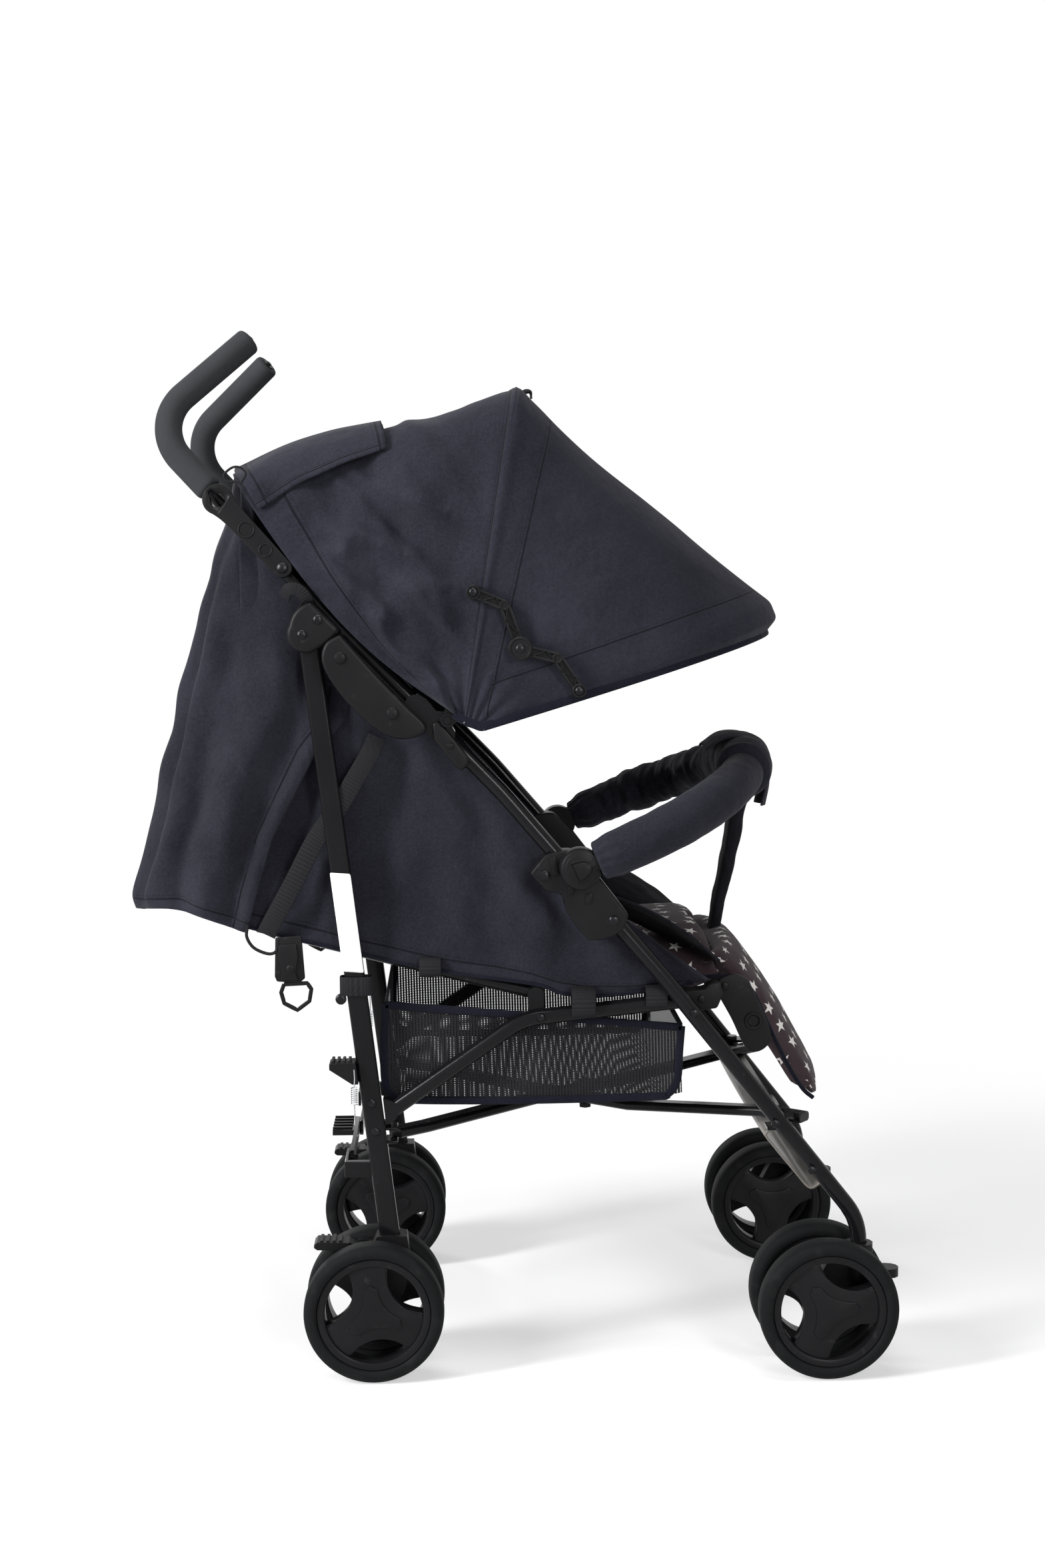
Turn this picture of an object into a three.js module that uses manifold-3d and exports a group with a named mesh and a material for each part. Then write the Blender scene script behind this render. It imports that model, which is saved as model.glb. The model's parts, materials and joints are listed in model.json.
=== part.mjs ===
// Umbrella-fold baby stroller, standing open, with the backrest reclined.
// Millimetres. +X points forward, +Y to the child's left, +Z up; z = 0 is the floor.
// Pieces that come in pairs are drawn on the left side (+Y) and mirrored to the right.
import * as THREE from 'three';
import { mergeVertices } from 'three/addons/utils/BufferGeometryUtils.js';
import Module from 'manifold-3d';

const wasm = await Module();
wasm.setup();

// ---------------------------------------------------------------- driving sizes

const gap = 0.3; // clearance between pieces that touch or run on each other
const clothThickness = 2.5;
const facetTurn = 16; // flats round a wheel

const wheel = {
  radius: 70, width: 30, treadHalf: 8, rimRadius: 57, rimInner: 48.5, rimWidth: 24,
  faceRecess: 3, spokes: 3, windowHalfAngle: 38, windowReach: 17,
  bossRadius: 13, boreRadius: 4 + gap, boreEnd: 6, capReach: 29, capHalf: 8, capRise: 2,
};
const axle = { radius: 4, overrun: 5, spacerRadius: 10, housingRise: 71 };

// The width of the seat sets the recliner tubes, those the rails, and those the side frames.
const seat = { rear: 128, top: 412, thick: 26, half: 146, frontRound: 12 };
const recliner = { pivot: [164, 381], end: [-114, 452], radius: 7, clear: 4 };
recliner.y = seat.half + recliner.clear + recliner.radius;
const rail = {
  front: [315, 375], knee: [150, 357], rear: [20, 267], radius: 8, socket: 12, kneeRadius: 70,
  clear: 1.4,
};
rail.y = recliner.y + recliner.radius + rail.radius + rail.clear;
const tube = { radius: 8, sides: 8 };
tube.y = rail.y + rail.radius + tube.radius + 2 * gap;
const leg = {
  top: [-59, 744], bottom: [20, 104], y: tube.y - 12, wide: 20, thick: 12, corner: 4,
};

const rearWheels = { x: 0, y: leg.y - 0.5, spacing: 57 };
const frontWheels = { x: 453, y: tube.y - 5.5, spacing: 65 };
const fork = {
  swivelX: 489, bossRadius: 14.5, bossLow: 92, bossHigh: 127, armHalf: 8, eyeRadius: 13,
  tabReach: 41, tabHalf: 11, tabThickness: 9,
};

const handle = {
  tip: [-121, tube.y - 87, 1035], bend: [-215.5, tube.y - 52, 949], bendRadius: 48, bendSteps: 5,
  gripRadius: 13.5, gripLow: [-157, tube.y - 41, 882], gripWall: 3,
};
const sideLine = {
  hinge: [-22, 743.5], upper: [130, 587], middle: [293, 398], stemTop: 150,
  hingeBend: 150, legBend: 300, stemBend: 60,
};
const stemLow = 98;

const crossBar = {
  rear: [22.1, leg.y - 17.4], front: [436.1, tube.y - 21.3], wide: 20, thick: 10, lap: 1, flat: 60,
};
const crossLevel = { rearEnd: 240, frontEnd: 252, lower: 235 };
crossLevel.upper = crossLevel.lower + crossBar.thick + crossBar.lap;
const clevis = { plate: 3, reach: 22, half: 13 };
const crossBolt = { radius: 4, head: 7 };

const rearLink = {
  hingeY: leg.y - 48, z: 206, x: -22, plate: 4, tall: 16, pin: 3, pedalReach: 24, pedalHalf: 30,
};
const hingeBracket = {
  rivet: [-47.5, 757], inner: tube.y - 19.5, outer: tube.y + 14, radius: 18,
};
const latch = { pivotX: -80, length: 94, ring: 15, arm: 9.5, thick: 5 };

const bumper = {
  hub: [206, 514.5], hubRadius: 20, hubOuter: tube.y + 40, bracketLength: 97,
  bracketOuter: tube.y + 14, bracketInner: tube.y - 15,
  armReach: 30, straight: 12, reach: 150, rise: 64, padRadius: 23,
  buttonHalf: 8.5, buttonDepth: 8, buttonProud: 1.5,
};
const crotchStrap = { half: 17, thick: 6, x: 366, low: 423 };

const canopy = { pivot: [77, 659], pivotHalf: tube.y + 24, clipHalf: 10.5, startShare: 0.1 };
// side origin, crown point, half width at the crown, squareness of the arch
const hoods = {
  hem: { from: [95, 642], crown: [420, 746], half: canopy.pivotHalf + 1, square: 2.6 },
  front: { from: [88, 650], crown: [424, 770], half: canopy.pivotHalf, square: 2.6 },
  middle: { from: [77, 659], crown: [149, 987], half: canopy.pivotHalf - 9, square: 8 },
  rear: { from: [70, 665], crown: [-138, 903], half: canopy.pivotHalf - 36, square: 8 },
};
const bow = { wide: 9, thick: 4, inset: 8.2, crownDrop: 6 };
const strut = {
  rearPin: [103, 783], rearElbow: [133, 770], disc: [148, 728.5], frontElbow: [184, 719],
  frontPin: [205, 687.5], half: 5.5, window: 3, discRadius: 11, thick: 4, y: canopy.pivotHalf,
  boss: 3.5, rearDrop: 3.4, frontDrop: 5.9,
};

const backrest = { foot: [132, 396], head: [-216, 469], thick: 22 };
const legRest = {
  hinge: [357, 384], length: 158, angle: 53.5, thick: 18, inset: 6, plateProud: 7, roll: 6,
};
legRest.half = seat.half - legRest.inset;
const basket = { rear: 14, front: 312, clear: 27, topRear: 372, topFront: 346, wall: 2.5 };
const tent = {
  rearFlare: 7, rear: [-226, 478], rearBulge: 26, rearTop: [-150, 868],
  front: [330, 401], frontTop: [-112, 846], topHalf: seat.half - 8, sag: 27,
};
const footrest = { high: 236, low: 181, behind: 24.2, lip: 16, thick: 3 };
const brake = { pivot: [-14, 124], hub: 7, pin: 3, reach: 47, rise: 5, thick: 8, ribs: 4 };
const lockPedal = { z: 296, tall: 22, reach: 26, half: 12, ribs: 4 };

// ---------------------------------------------------------------- materials

const paint = (color, roughness, metalness = 0) =>
  new THREE.MeshStandardMaterial({ color, roughness, metalness });
const materials = {
  steel: paint(0x121214, 0.32, 0.55),
  plastic: paint(0x1b1b1d, 0.5),
  rubber: paint(0x1d1f22, 0.75),
  foam: paint(0x333537, 0.95),
  fabric: paint(0x2b2b37, 0.9),
  print: paint(0x33272b, 0.88),
  mesh: paint(0x17171a, 0.95),
  sheet: paint(0x6a635f, 0.45),
};

// ---------------------------------------------------------------- geometry helpers

const radians = THREE.MathUtils.degToRad;
const along = (a, b, share) => a.map((value, axis) => value + (b[axis] - value) * share);

// A closed three.js geometry as a solid for cutting and joining.
function solid(geometry) {
  const bare = geometry.clone();
  bare.deleteAttribute('normal');
  bare.deleteAttribute('uv');
  const merged = mergeVertices(bare, 1e-4);
  return new wasm.Manifold(new wasm.Mesh({
    numProp: 3,
    vertProperties: new Float32Array(merged.attributes.position.array),
    triVerts: new Uint32Array(merged.index.array),
  }));
}

function fromSolid(body) {
  const mesh = body.getMesh();
  const geometry = new THREE.BufferGeometry();
  geometry.setAttribute('position', new THREE.BufferAttribute(mesh.vertProperties, 3));
  geometry.setIndex(new THREE.BufferAttribute(mesh.triVerts, 1));
  return geometry;
}

const join = (...geometries) =>
  fromSolid(geometries.map(solid).reduce((whole, piece) => whole.add(piece)));
const cut = (geometry, ...tools) =>
  fromSolid(tools.map(solid).reduce((whole, tool) => whole.subtract(tool), solid(geometry)));

// The same piece on the other side of the stroller.
function mirrored(geometry) {
  const copy = (geometry.index ? geometry : mergeVertices(geometry)).clone();
  copy.scale(1, -1, 1);
  const index = copy.index.array;
  for (let corner = 0; corner < index.length; corner += 3) {
    [index[corner], index[corner + 1]] = [index[corner + 1], index[corner]];
  }
  return copy;
}

// A curve through stations, so that a straight run takes one step of a sweep.
class StationPath extends THREE.Curve {
  constructor(points) {
    super();
    this.points = points;
  }

  getPoint(share, target = new THREE.Vector3()) {
    const place = share * (this.points.length - 1);
    const start = Math.min(Math.floor(place), this.points.length - 2);
    return target.lerpVectors(this.points[start], this.points[start + 1], place - start);
  }

  getTangent(share, target = new THREE.Vector3()) {
    const last = this.points.length - 1;
    const station = Math.round(share * last);
    const here = this.points[station];
    const ahead = this.points[Math.min(station + 1, last)].clone().sub(here).normalize();
    const behind = here.clone().sub(this.points[Math.max(station - 1, 0)]).normalize();
    return target.copy(ahead).add(behind).normalize();
  }

  getUtoTmapping(share) {
    return share;
  }
}

const vector = (point) => new THREE.Vector3(...point);

// Stations along a bent tube: corners [x, y, z] and a bend radius and step count for each.
function bent(corners) {
  const stations = [];
  corners.forEach(({ at, radius, steps }, number) => {
    const corner = vector(at);
    if (!radius) {
      stations.push(corner);
      return;
    }
    const inward = vector(corners[number - 1].at).sub(corner).normalize();
    const outward = vector(corners[number + 1].at).sub(corner).normalize();
    const half = inward.angleTo(outward) / 2;
    const reach = radius / Math.tan(half);
    const bisector = inward.clone().add(outward).normalize();
    const centre = corner.clone().addScaledVector(bisector, radius / Math.sin(half));
    const start = corner.clone().addScaledVector(inward, reach).sub(centre);
    const turn = Math.PI - 2 * half;
    const axis = start.clone().cross(corner.clone().addScaledVector(outward, reach).sub(centre));
    axis.normalize();
    for (let step = 0; step <= steps; step += 1) {
      stations.push(start.clone().applyAxisAngle(axis, turn * step / steps).add(centre));
    }
  });
  return stations;
}

// One flat of the section faces straight down.
const roundSection = (radius, sides) =>
  new THREE.Shape(Array.from({ length: sides }, (_, side) => {
    const angle = 2 * Math.PI * (side + 0.5) / sides - Math.PI / 2;
    return new THREE.Vector2(radius * Math.cos(angle), radius * Math.sin(angle));
  }));

// Flat section with cut corners; thick runs along the sweep's first normal.
function flatSection(thick, wide, corner) {
  const [x, y] = [thick / 2, wide / 2];
  const outline = [
    [x - corner, -y], [x, corner - y], [x, y - corner], [x - corner, y],
    [corner - x, y], [-x, y - corner], [-x, corner - y], [corner - x, -y],
  ];
  return new THREE.Shape(outline.map(([a, b]) => new THREE.Vector2(a, b)));
}

const stripSection = (thick, wide) => new THREE.Shape([
  new THREE.Vector2(thick / 2, -wide / 2), new THREE.Vector2(thick / 2, wide / 2),
  new THREE.Vector2(-thick / 2, wide / 2), new THREE.Vector2(-thick / 2, -wide / 2),
]);

const sweep = (section, stations) => new THREE.ExtrudeGeometry(section, {
  extrudePath: new StationPath(stations),
  steps: stations.length - 1,
});

// An outline in the side view (x, z), given a width across the stroller.
function plate(shape, inner, outer, curveSegments = 5) {
  const depth = outer - inner;
  const geometry = new THREE.ExtrudeGeometry(shape, { depth, bevelEnabled: false, curveSegments });
  return geometry.rotateX(Math.PI / 2).translate(0, outer, 0);
}

const outlined = (points) => new THREE.Shape(points.map(([x, z]) => new THREE.Vector2(x, z)));

function pin(radius, inner, outer, [x, z], sides = 12) {
  const length = outer - inner;
  const geometry = new THREE.CylinderGeometry(radius, radius, length, sides);
  return geometry.translate(x, inner + length / 2, z);
}

const post = (radius, low, high, x, y, sides = 12) =>
  new THREE.CylinderGeometry(radius, radius, high - low, sides)
    .rotateX(Math.PI / 2)
    .translate(x, y, (low + high) / 2);

const block = ([x0, x1], [y0, y1], [z0, z1]) =>
  new THREE.BoxGeometry(x1 - x0, y1 - y0, z1 - z0)
    .translate((x0 + x1) / 2, (y0 + y1) / 2, (z0 + z1) / 2);

// A strip with round ends between two points of the side view.
function link(from, to, half) {
  const angle = Math.atan2(to[1] - from[1], to[0] - from[0]);
  const shape = new THREE.Shape();
  shape.absarc(from[0], from[1], half, angle + Math.PI / 2, angle + 1.5 * Math.PI, false);
  shape.absarc(to[0], to[1], half, angle - Math.PI / 2, angle + Math.PI / 2, false);
  return shape;
}

const rivet = (place, face, radius = 4) => pin(radius, face - 2, face + 1.6, place, 8);

// A grid of points made into a closed sheet, thickened away from its outer face.
function sheet(rows, thickness) {
  const height = rows.length;
  const width = rows[0].length;
  const normal = (row, column) => {
    const up = rows[Math.min(row + 1, height - 1)][column].clone();
    up.sub(rows[Math.max(row - 1, 0)][column]);
    const across = rows[row][Math.min(column + 1, width - 1)].clone();
    across.sub(rows[row][Math.max(column - 1, 0)]);
    return across.cross(up).normalize();
  };
  const outer = rows.flat();
  const inner = rows.flatMap((line, row) =>
    line.map((point, column) => point.clone().addScaledVector(normal(row, column), -thickness)));
  const positions = [...outer, ...inner].flatMap((point) => point.toArray());
  const index = [];
  const at = (row, column, layer) => layer * height * width + row * width + column;
  const quad = (a, b, c, d) => index.push(a, b, c, a, c, d);
  for (let row = 0; row < height - 1; row += 1) {
    for (let column = 0; column < width - 1; column += 1) {
      const corners = [[row, column], [row, column + 1], [row + 1, column + 1], [row + 1, column]];
      quad(...corners.map(([r, c]) => at(r, c, 0)));
      quad(...corners.reverse().map(([r, c]) => at(r, c, 1)));
    }
    const end = width - 1;
    quad(at(row, 0, 0), at(row + 1, 0, 0), at(row + 1, 0, 1), at(row, 0, 1));
    quad(at(row, end, 0), at(row, end, 1), at(row + 1, end, 1), at(row + 1, end, 0));
  }
  for (let column = 0; column < width - 1; column += 1) {
    const top = height - 1;
    quad(at(0, column, 0), at(0, column, 1), at(0, column + 1, 1), at(0, column + 1, 0));
    quad(at(top, column, 0), at(top, column + 1, 0), at(top, column + 1, 1), at(top, column, 1));
  }
  const geometry = new THREE.BufferGeometry();
  geometry.setAttribute('position', new THREE.Float32BufferAttribute(positions, 3));
  geometry.setIndex(index);
  return geometry;
}

// ---------------------------------------------------------------- assembly

const stroller = new THREE.Group();

function add(name, geometry, material) {
  const mesh = new THREE.Mesh(geometry, material);
  mesh.name = name;
  stroller.add(mesh);
}

function addPair(name, geometry, material) {
  add(`${name}_left`, geometry, material);
  add(`${name}_right`, mirrored(geometry), material);
}

// ---------------------------------------------------------------- wheels

// Flats, not corners, of the faceted rounds keep the true radius and meet the floor.
const flatsToCorners = 1 / Math.cos(Math.PI / facetTurn);

function turned(profile) {
  const points = profile.map(([radius, y]) => new THREE.Vector2(radius * flatsToCorners, y));
  return new THREE.LatheGeometry(points, facetTurn, Math.PI + Math.PI / facetTurn);
}

function tyre() {
  const seatRadius = wheel.rimRadius + gap;
  const seatHalf = wheel.rimWidth / 2;
  const half = wheel.width / 2;
  const shoulder = wheel.radius - 3;
  return turned([
    [seatRadius, -seatHalf], [shoulder, -half],
    [wheel.radius, -wheel.treadHalf], [wheel.radius, wheel.treadHalf],
    [shoulder, half], [seatRadius, seatHalf], [seatRadius, -seatHalf],
  ]);
}

// An opening between two spokes: rim arc outside, a curve that flares the spokes inside.
function spokeWindow(middle) {
  const half = radians(wheel.windowHalfAngle);
  const ends = [middle - half, middle + half].map((angle) =>
    new THREE.Vector2(Math.cos(angle), Math.sin(angle)).multiplyScalar(wheel.rimInner));
  const opening = new THREE.Path();
  opening.absarc(0, 0, wheel.rimInner, middle - half, middle + half, false);
  opening.quadraticCurveTo(
    wheel.windowReach * Math.cos(middle), wheel.windowReach * Math.sin(middle), ends[0].x, ends[0].y,
  );
  return opening;
}

// The raised cap with one rounded lobe along each spoke.
function hubCap() {
  const cap = new THREE.Shape();
  const lobe = Math.atan2(wheel.capHalf, wheel.capReach);
  for (let spoke = 0; spoke < wheel.spokes; spoke += 1) {
    const middle = spokeAngle(spoke);
    const point = (angle, radius) => [radius * Math.cos(angle), radius * Math.sin(angle)];
    const valley = middle - Math.PI / wheel.spokes;
    if (spoke === 0) cap.moveTo(...point(valley, wheel.bossRadius));
    const nextValley = middle + Math.PI / wheel.spokes;
    const waist = 2.2 * lobe;
    cap.quadraticCurveTo(
      ...point(middle - waist, wheel.bossRadius), ...point(middle - lobe, wheel.capReach),
    );
    cap.quadraticCurveTo(
      ...point(middle, wheel.capReach + 4), ...point(middle + lobe, wheel.capReach),
    );
    cap.quadraticCurveTo(
      ...point(middle + waist, wheel.bossRadius), ...point(nextValley, wheel.bossRadius),
    );
  }
  return cap;
}

const spokeAngle = (spoke) => 2 * Math.PI * spoke / wheel.spokes + radians(100);

// Three flared spokes in a rim, with the raised cap on the +Y face and a blind bore behind it.
function hub() {
  const half = wheel.rimWidth / 2;
  const disc = roundSection(wheel.rimRadius * flatsToCorners, facetTurn);
  for (let spoke = 0; spoke < wheel.spokes; spoke += 1) {
    disc.holes.push(spokeWindow(spokeAngle(spoke) + Math.PI / wheel.spokes));
  }
  const face = half - wheel.faceRecess;
  const recess = roundSection(wheel.rimInner + 1, facetTurn);
  const body = cut(plate(disc, -half, half, 3), plate(recess, face, half + 1));
  const capped = join(
    body,
    pin(wheel.bossRadius, -half, face, [0, 0]),
    plate(hubCap(), face - 1, face + wheel.capRise, 2),
  );
  return cut(capped, pin(wheel.boreRadius, -half - 1, wheel.boreEnd, [0, 0], 10));
}

// A pair of wheels on one axle; each cap faces away from the pair.
function addWheels(place, { x, y, spacing }) {
  for (const [position, outward] of [['outer', 1], ['inner', -1]]) {
    const turn = outward > 0 ? 0 : Math.PI;
    const seat = (geometry) => geometry.rotateZ(turn)
      .translate(x, y + outward * spacing / 2, wheel.radius);
    addPair(`${place}_tyre_${position}`, seat(tyre()), materials.rubber);
    addPair(`${place}_hub_${position}`, seat(hub()), materials.plastic);
  }
}

// The axle with its two spacers, as one bar across a wheel pair.
function axleBar({ x, y, spacing }) {
  const reach = spacing / 2 + axle.overrun;
  const spacer = (spacing - wheel.rimWidth) / 2 - gap;
  return join(
    pin(axle.radius, y - reach, y + reach, [x, wheel.radius], 10),
    pin(axle.spacerRadius, y - spacer, y + spacer, [x, wheel.radius]),
  );
}

// ---------------------------------------------------------------- front forks

function frontFork() {
  const { x, y } = frontWheels;
  const height = fork.bossHigh;
  const noseX = fork.swivelX + fork.bossRadius - 2;
  const arm = new THREE.Shape();
  arm.moveTo(noseX, height - 4);
  arm.quadraticCurveTo(fork.swivelX - 30, height + 4, x - 12, wheel.radius + 10);
  arm.absarc(x, wheel.radius, fork.eyeRadius, radians(150), radians(300), false);
  arm.quadraticCurveTo(fork.swivelX - 6, wheel.radius + 2, noseX, fork.bossLow);
  const tabEnd = fork.swivelX + fork.tabReach - fork.tabHalf;
  const tab = link([fork.swivelX, y], [tabEnd, y], fork.tabHalf);
  const lever = new THREE.ExtrudeGeometry(tab, {
    depth: fork.tabThickness, bevelEnabled: false, curveSegments: 3,
  }).translate(0, 0, fork.bossLow);
  const body = join(
    plate(arm, y - fork.armHalf, y + fork.armHalf, 3),
    post(fork.bossRadius, fork.bossLow, fork.bossHigh, fork.swivelX, y),
    lever,
    axleBar(frontWheels),
  );
  const stemRadius = (tube.radius + gap) / Math.cos(Math.PI / tube.sides);
  return cut(body, post(stemRadius, stemLow - gap, height + 1, fork.swivelX, y, tube.sides));
}

// ---------------------------------------------------------------- side frames

// The long bent tube: handle, front leg and the stem that the fork swivels on.
function sideTubeStations() {
  const { hinge, upper, middle, stemTop, hingeBend, legBend, stemBend } = sideLine;
  return bent([
    { at: handle.tip },
    { at: handle.bend, radius: handle.bendRadius, steps: handle.bendSteps },
    { at: [hinge[0], tube.y - 4, hinge[1]], radius: hingeBend, steps: 1 },
    { at: [upper[0], tube.y, upper[1]], radius: legBend, steps: 1 },
    { at: [middle[0], tube.y, middle[1]], radius: legBend, steps: 1 },
    { at: [fork.swivelX, frontWheels.y, stemTop], radius: stemBend, steps: 3 },
    { at: [fork.swivelX, frontWheels.y, stemLow] },
  ]);
}

// Centre of the front leg at a height between the upper and middle bends, or below.
function legLine(z) {
  const { upper, middle, stemTop } = sideLine;
  const [from, to] = z > middle[1] ? [upper, middle] : [middle, [fork.swivelX, stemTop]];
  return from[0] + (to[0] - from[0]) * (z - from[1]) / (to[1] - from[1]);
}

// Distance of the front leg's centre from the middle plane at a height.
function legSide(z) {
  const low = sideLine.stemTop;
  const share = Math.min(Math.max((sideLine.middle[1] - z) / (sideLine.middle[1] - low), 0), 1);
  return tube.y + (frontWheels.y - tube.y) * share;
}

// Two steel plates that hold the end of a cross bar between them.
function clevisPlates(x, outer, level) {
  const inner = outer - clevis.reach;
  const clear = crossBar.thick / 2 + gap;
  const top = level + clear + clevis.plate;
  const bottom = level - clear - clevis.plate;
  return [
    block([x - clevis.half, x + clevis.half], [inner, outer], [level + clear, top]),
    block([x - clevis.half, x + clevis.half], [inner, outer], [bottom, level - clear]),
    post(crossBolt.head, top - 1, top + 4, x, inner + 8, 6),
  ];
}

// Inner face of the first, second ... bow eye on the canopy pin.
const bowEye = (number) => tube.y + canopy.clipHalf + gap + number * (bow.thick + gap);

function canopyClip() {
  const [x, z] = canopy.pivot;
  const slope = Math.atan2(sideLine.upper[1] - sideLine.hinge[1], sideLine.upper[0] - sideLine.hinge[0]);
  const foot = [legLineUpper(z), z];
  const reach = 20;
  const body = link(
    [foot[0] - reach * Math.cos(slope), foot[1] - reach * Math.sin(slope)],
    [foot[0] + reach * Math.cos(slope), foot[1] + reach * Math.sin(slope)],
    tube.radius + 3,
  );
  return [
    plate(body, tube.y - canopy.clipHalf, tube.y + canopy.clipHalf, 3),
    pin(4, tube.y, bowEye(2) + gap, [x, z]),
    plate(link(foot, [x, z], 8), tube.y + 2, tube.y + canopy.clipHalf, 3),
  ];
}

// Centre of the tube at a height between the hinge bracket and the upper bend.
function legLineUpper(z) {
  const { hinge, upper } = sideLine;
  return hinge[0] + (upper[0] - hinge[0]) * (z - hinge[1]) / (upper[1] - hinge[1]);
}

function sideTube() {
  const stations = sideTubeStations();
  const x = legLine(crossLevel.frontEnd);
  return join(
    sweep(roundSection(tube.radius, tube.sides), stations),
    ...clevisPlates(x, tube.y - 3, crossLevel.frontEnd),
    ...canopyClip(),
  );
}

// Section of a hole that clears the side tube all round.
const boreSection = roundSection((tube.radius + gap) / Math.cos(Math.PI / tube.sides), tube.sides);

const tubeBore = () => sweep(boreSection, sideTubeStations());

// Foam sleeve over the bent end of the tube, closed at the tip.
function grip() {
  const [tip, bend, low] = [handle.tip, handle.bend, handle.gripLow];
  const outward = vector(tip).sub(vector(bend)).normalize();
  const end = vector(tip).addScaledVector(outward, handle.gripWall).toArray();
  const path = (first, last) => bent([
    { at: first },
    { at: bend, radius: handle.bendRadius, steps: handle.bendSteps },
    { at: last },
  ]);
  const hinge = [sideLine.hinge[0], tube.y - 4, sideLine.hinge[1]];
  const share = vector(low).distanceTo(vector(bend)) / vector(hinge).distanceTo(vector(bend));
  const mouth = along(bend, hinge, share);
  const past = along(bend, hinge, share + 0.1);
  const bore = vector(tip).addScaledVector(outward, gap).toArray();
  return cut(
    sweep(roundSection(handle.gripRadius, tube.sides), path(end, mouth)),
    sweep(boreSection, path(bore, past)),
  );
}

// Centre of the rear leg at a height.
function legAt(z) {
  return leg.top[0] + (leg.bottom[0] - leg.top[0]) * (z - leg.top[1]) / (leg.bottom[1] - leg.top[1]);
}

function rearLegBar(extra = 0) {
  const stations = [leg.top, leg.bottom].map(([x, z]) => new THREE.Vector3(x, leg.y, z));
  return sweep(flatSection(leg.thick + 2 * extra, leg.wide + 2 * extra, leg.corner), stations);
}

function rearLeg() {
  const inner = leg.y - leg.thick / 2;
  const { z, x, tall, plate: thickness, hingeY, pin: radius } = rearLink;
  const rear = x - thickness - gap - 3;
  const arm = block([rear, rear + 3], [hingeY - 9, inner + 4], [z - tall / 2, z + tall / 2]);
  const shoulder = block([rear, legAt(z)], [inner - 4, inner + 4], [z - tall / 2, z + tall / 2]);
  const hingePin = new THREE.CylinderGeometry(radius, radius, 3 * thickness, 10)
    .rotateZ(Math.PI / 2)
    .translate(rear + 1.5 * thickness, hingeY, z);
  return join(
    rearLegBar(),
    ...clevisPlates(legAt(crossLevel.rearEnd) + 8, inner + 3, crossLevel.rearEnd),
    arm, shoulder, hingePin,
  );
}

// D-shaped moulding that clasps the tube and the top of the rear leg.
function upperHinge() {
  const [x, z] = leg.top;
  const shape = new THREE.Shape();
  shape.absarc(x - 1, z - 1, hingeBracket.radius, radians(150), radians(315), false);
  shape.lineTo(x + 32, z + 2);
  shape.lineTo(x + 4, z + 31);
  shape.quadraticCurveTo(x - 14, z + 22, x - 16.5, z + 9);
  return cut(
    join(
      plate(shape, hingeBracket.inner, hingeBracket.outer, 4),
      rivet(hingeBracket.rivet, hingeBracket.outer, 5),
      rivet([x - 3, z - 1], hingeBracket.outer, 5),
    ),
    tubeBore(),
    rearLegBar(gap),
  );
}

// Round rail from the front leg to the socket on the rear leg, with the recliner lug on it.
function sideRail() {
  const y = rail.y;
  const { front, knee, rear } = rail;
  const socketFace = legAt(rear[1]) + leg.wide / 2 + 1.5;
  const socket = new THREE.Shape();
  socket.moveTo(socketFace - 1.4, rear[1] + rail.socket);
  socket.quadraticCurveTo(socketFace + 16, rear[1] + rail.socket - 2, socketFace + 14, rear[1] - 2);
  const bottom = rear[1] - rail.socket;
  socket.quadraticCurveTo(socketFace + 12, bottom, socketFace + 1.4, bottom - 2);
  const lugRadius = 8;
  const lugFoot = [recliner.pivot[0], knee[1] + rail.radius + 3];
  const lug = link(lugFoot, recliner.pivot, lugRadius);
  const lugInner = recliner.y + recliner.radius + gap;
  return join(
    sweep(roundSection(rail.radius, tube.sides), bent([
      { at: [front[0], y, front[1]] },
      { at: [knee[0], y, knee[1]], radius: rail.kneeRadius, steps: 3 },
      { at: [rear[0], y, rear[1]] },
    ])),
    plate(socket, y - 8, y + 8, 4),
    plate(lug, lugInner, y - 2, 4),
    pin(3, lugInner - 8, lugInner + 2, recliner.pivot, 10),
  );
}

// Tube along the edge of the backrest, flattened round its pivot at the front.
function backrestTube() {
  const { pivot, end, y, radius } = recliner;
  const start = along(pivot, end, 0.02);
  const body = join(
    sweep(roundSection(radius, 10), [
      new THREE.Vector3(start[0], y, start[1]), new THREE.Vector3(end[0], y, end[1]),
    ]),
    pin(radius + 2, y - radius + 1, y + radius, pivot, 12),
  );
  return cut(body, pin(3 + gap, y - radius - 1, y + radius + 1, pivot, 10));
}

// ---------------------------------------------------------------- scissor bars and rear links

// Where the two bars cross on the middle plane, and how far each end lies from there.
const crossing = (() => {
  const { rear, front } = crossBar;
  const angle = Math.atan2(rear[1] + front[1], front[0] - rear[0]);
  return {
    angle,
    x: rear[0] + rear[1] / Math.tan(angle),
    rearReach: rear[1] / Math.sin(angle),
    frontReach: front[1] / Math.sin(angle),
  };
})();

// One bar of the lower scissor, from the right rear leg to the left front leg.
function scissorBar(level) {
  const { rearReach, frontReach, angle } = crossing;
  const place = (reach, z) => new THREE.Vector3(
    crossing.x + reach * Math.cos(angle), reach * Math.sin(angle), z,
  );
  return sweep(flatSection(crossBar.thick, crossBar.wide, 2.5), [
    place(-rearReach, crossLevel.rearEnd),
    place(clevis.reach * 1.7 - rearReach, crossLevel.rearEnd),
    place(-crossBar.flat, level),
    place(crossBar.flat, level),
    place(frontReach - clevis.reach * 2.2, crossLevel.frontEnd),
    place(frontReach, crossLevel.frontEnd),
  ]);
}

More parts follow.
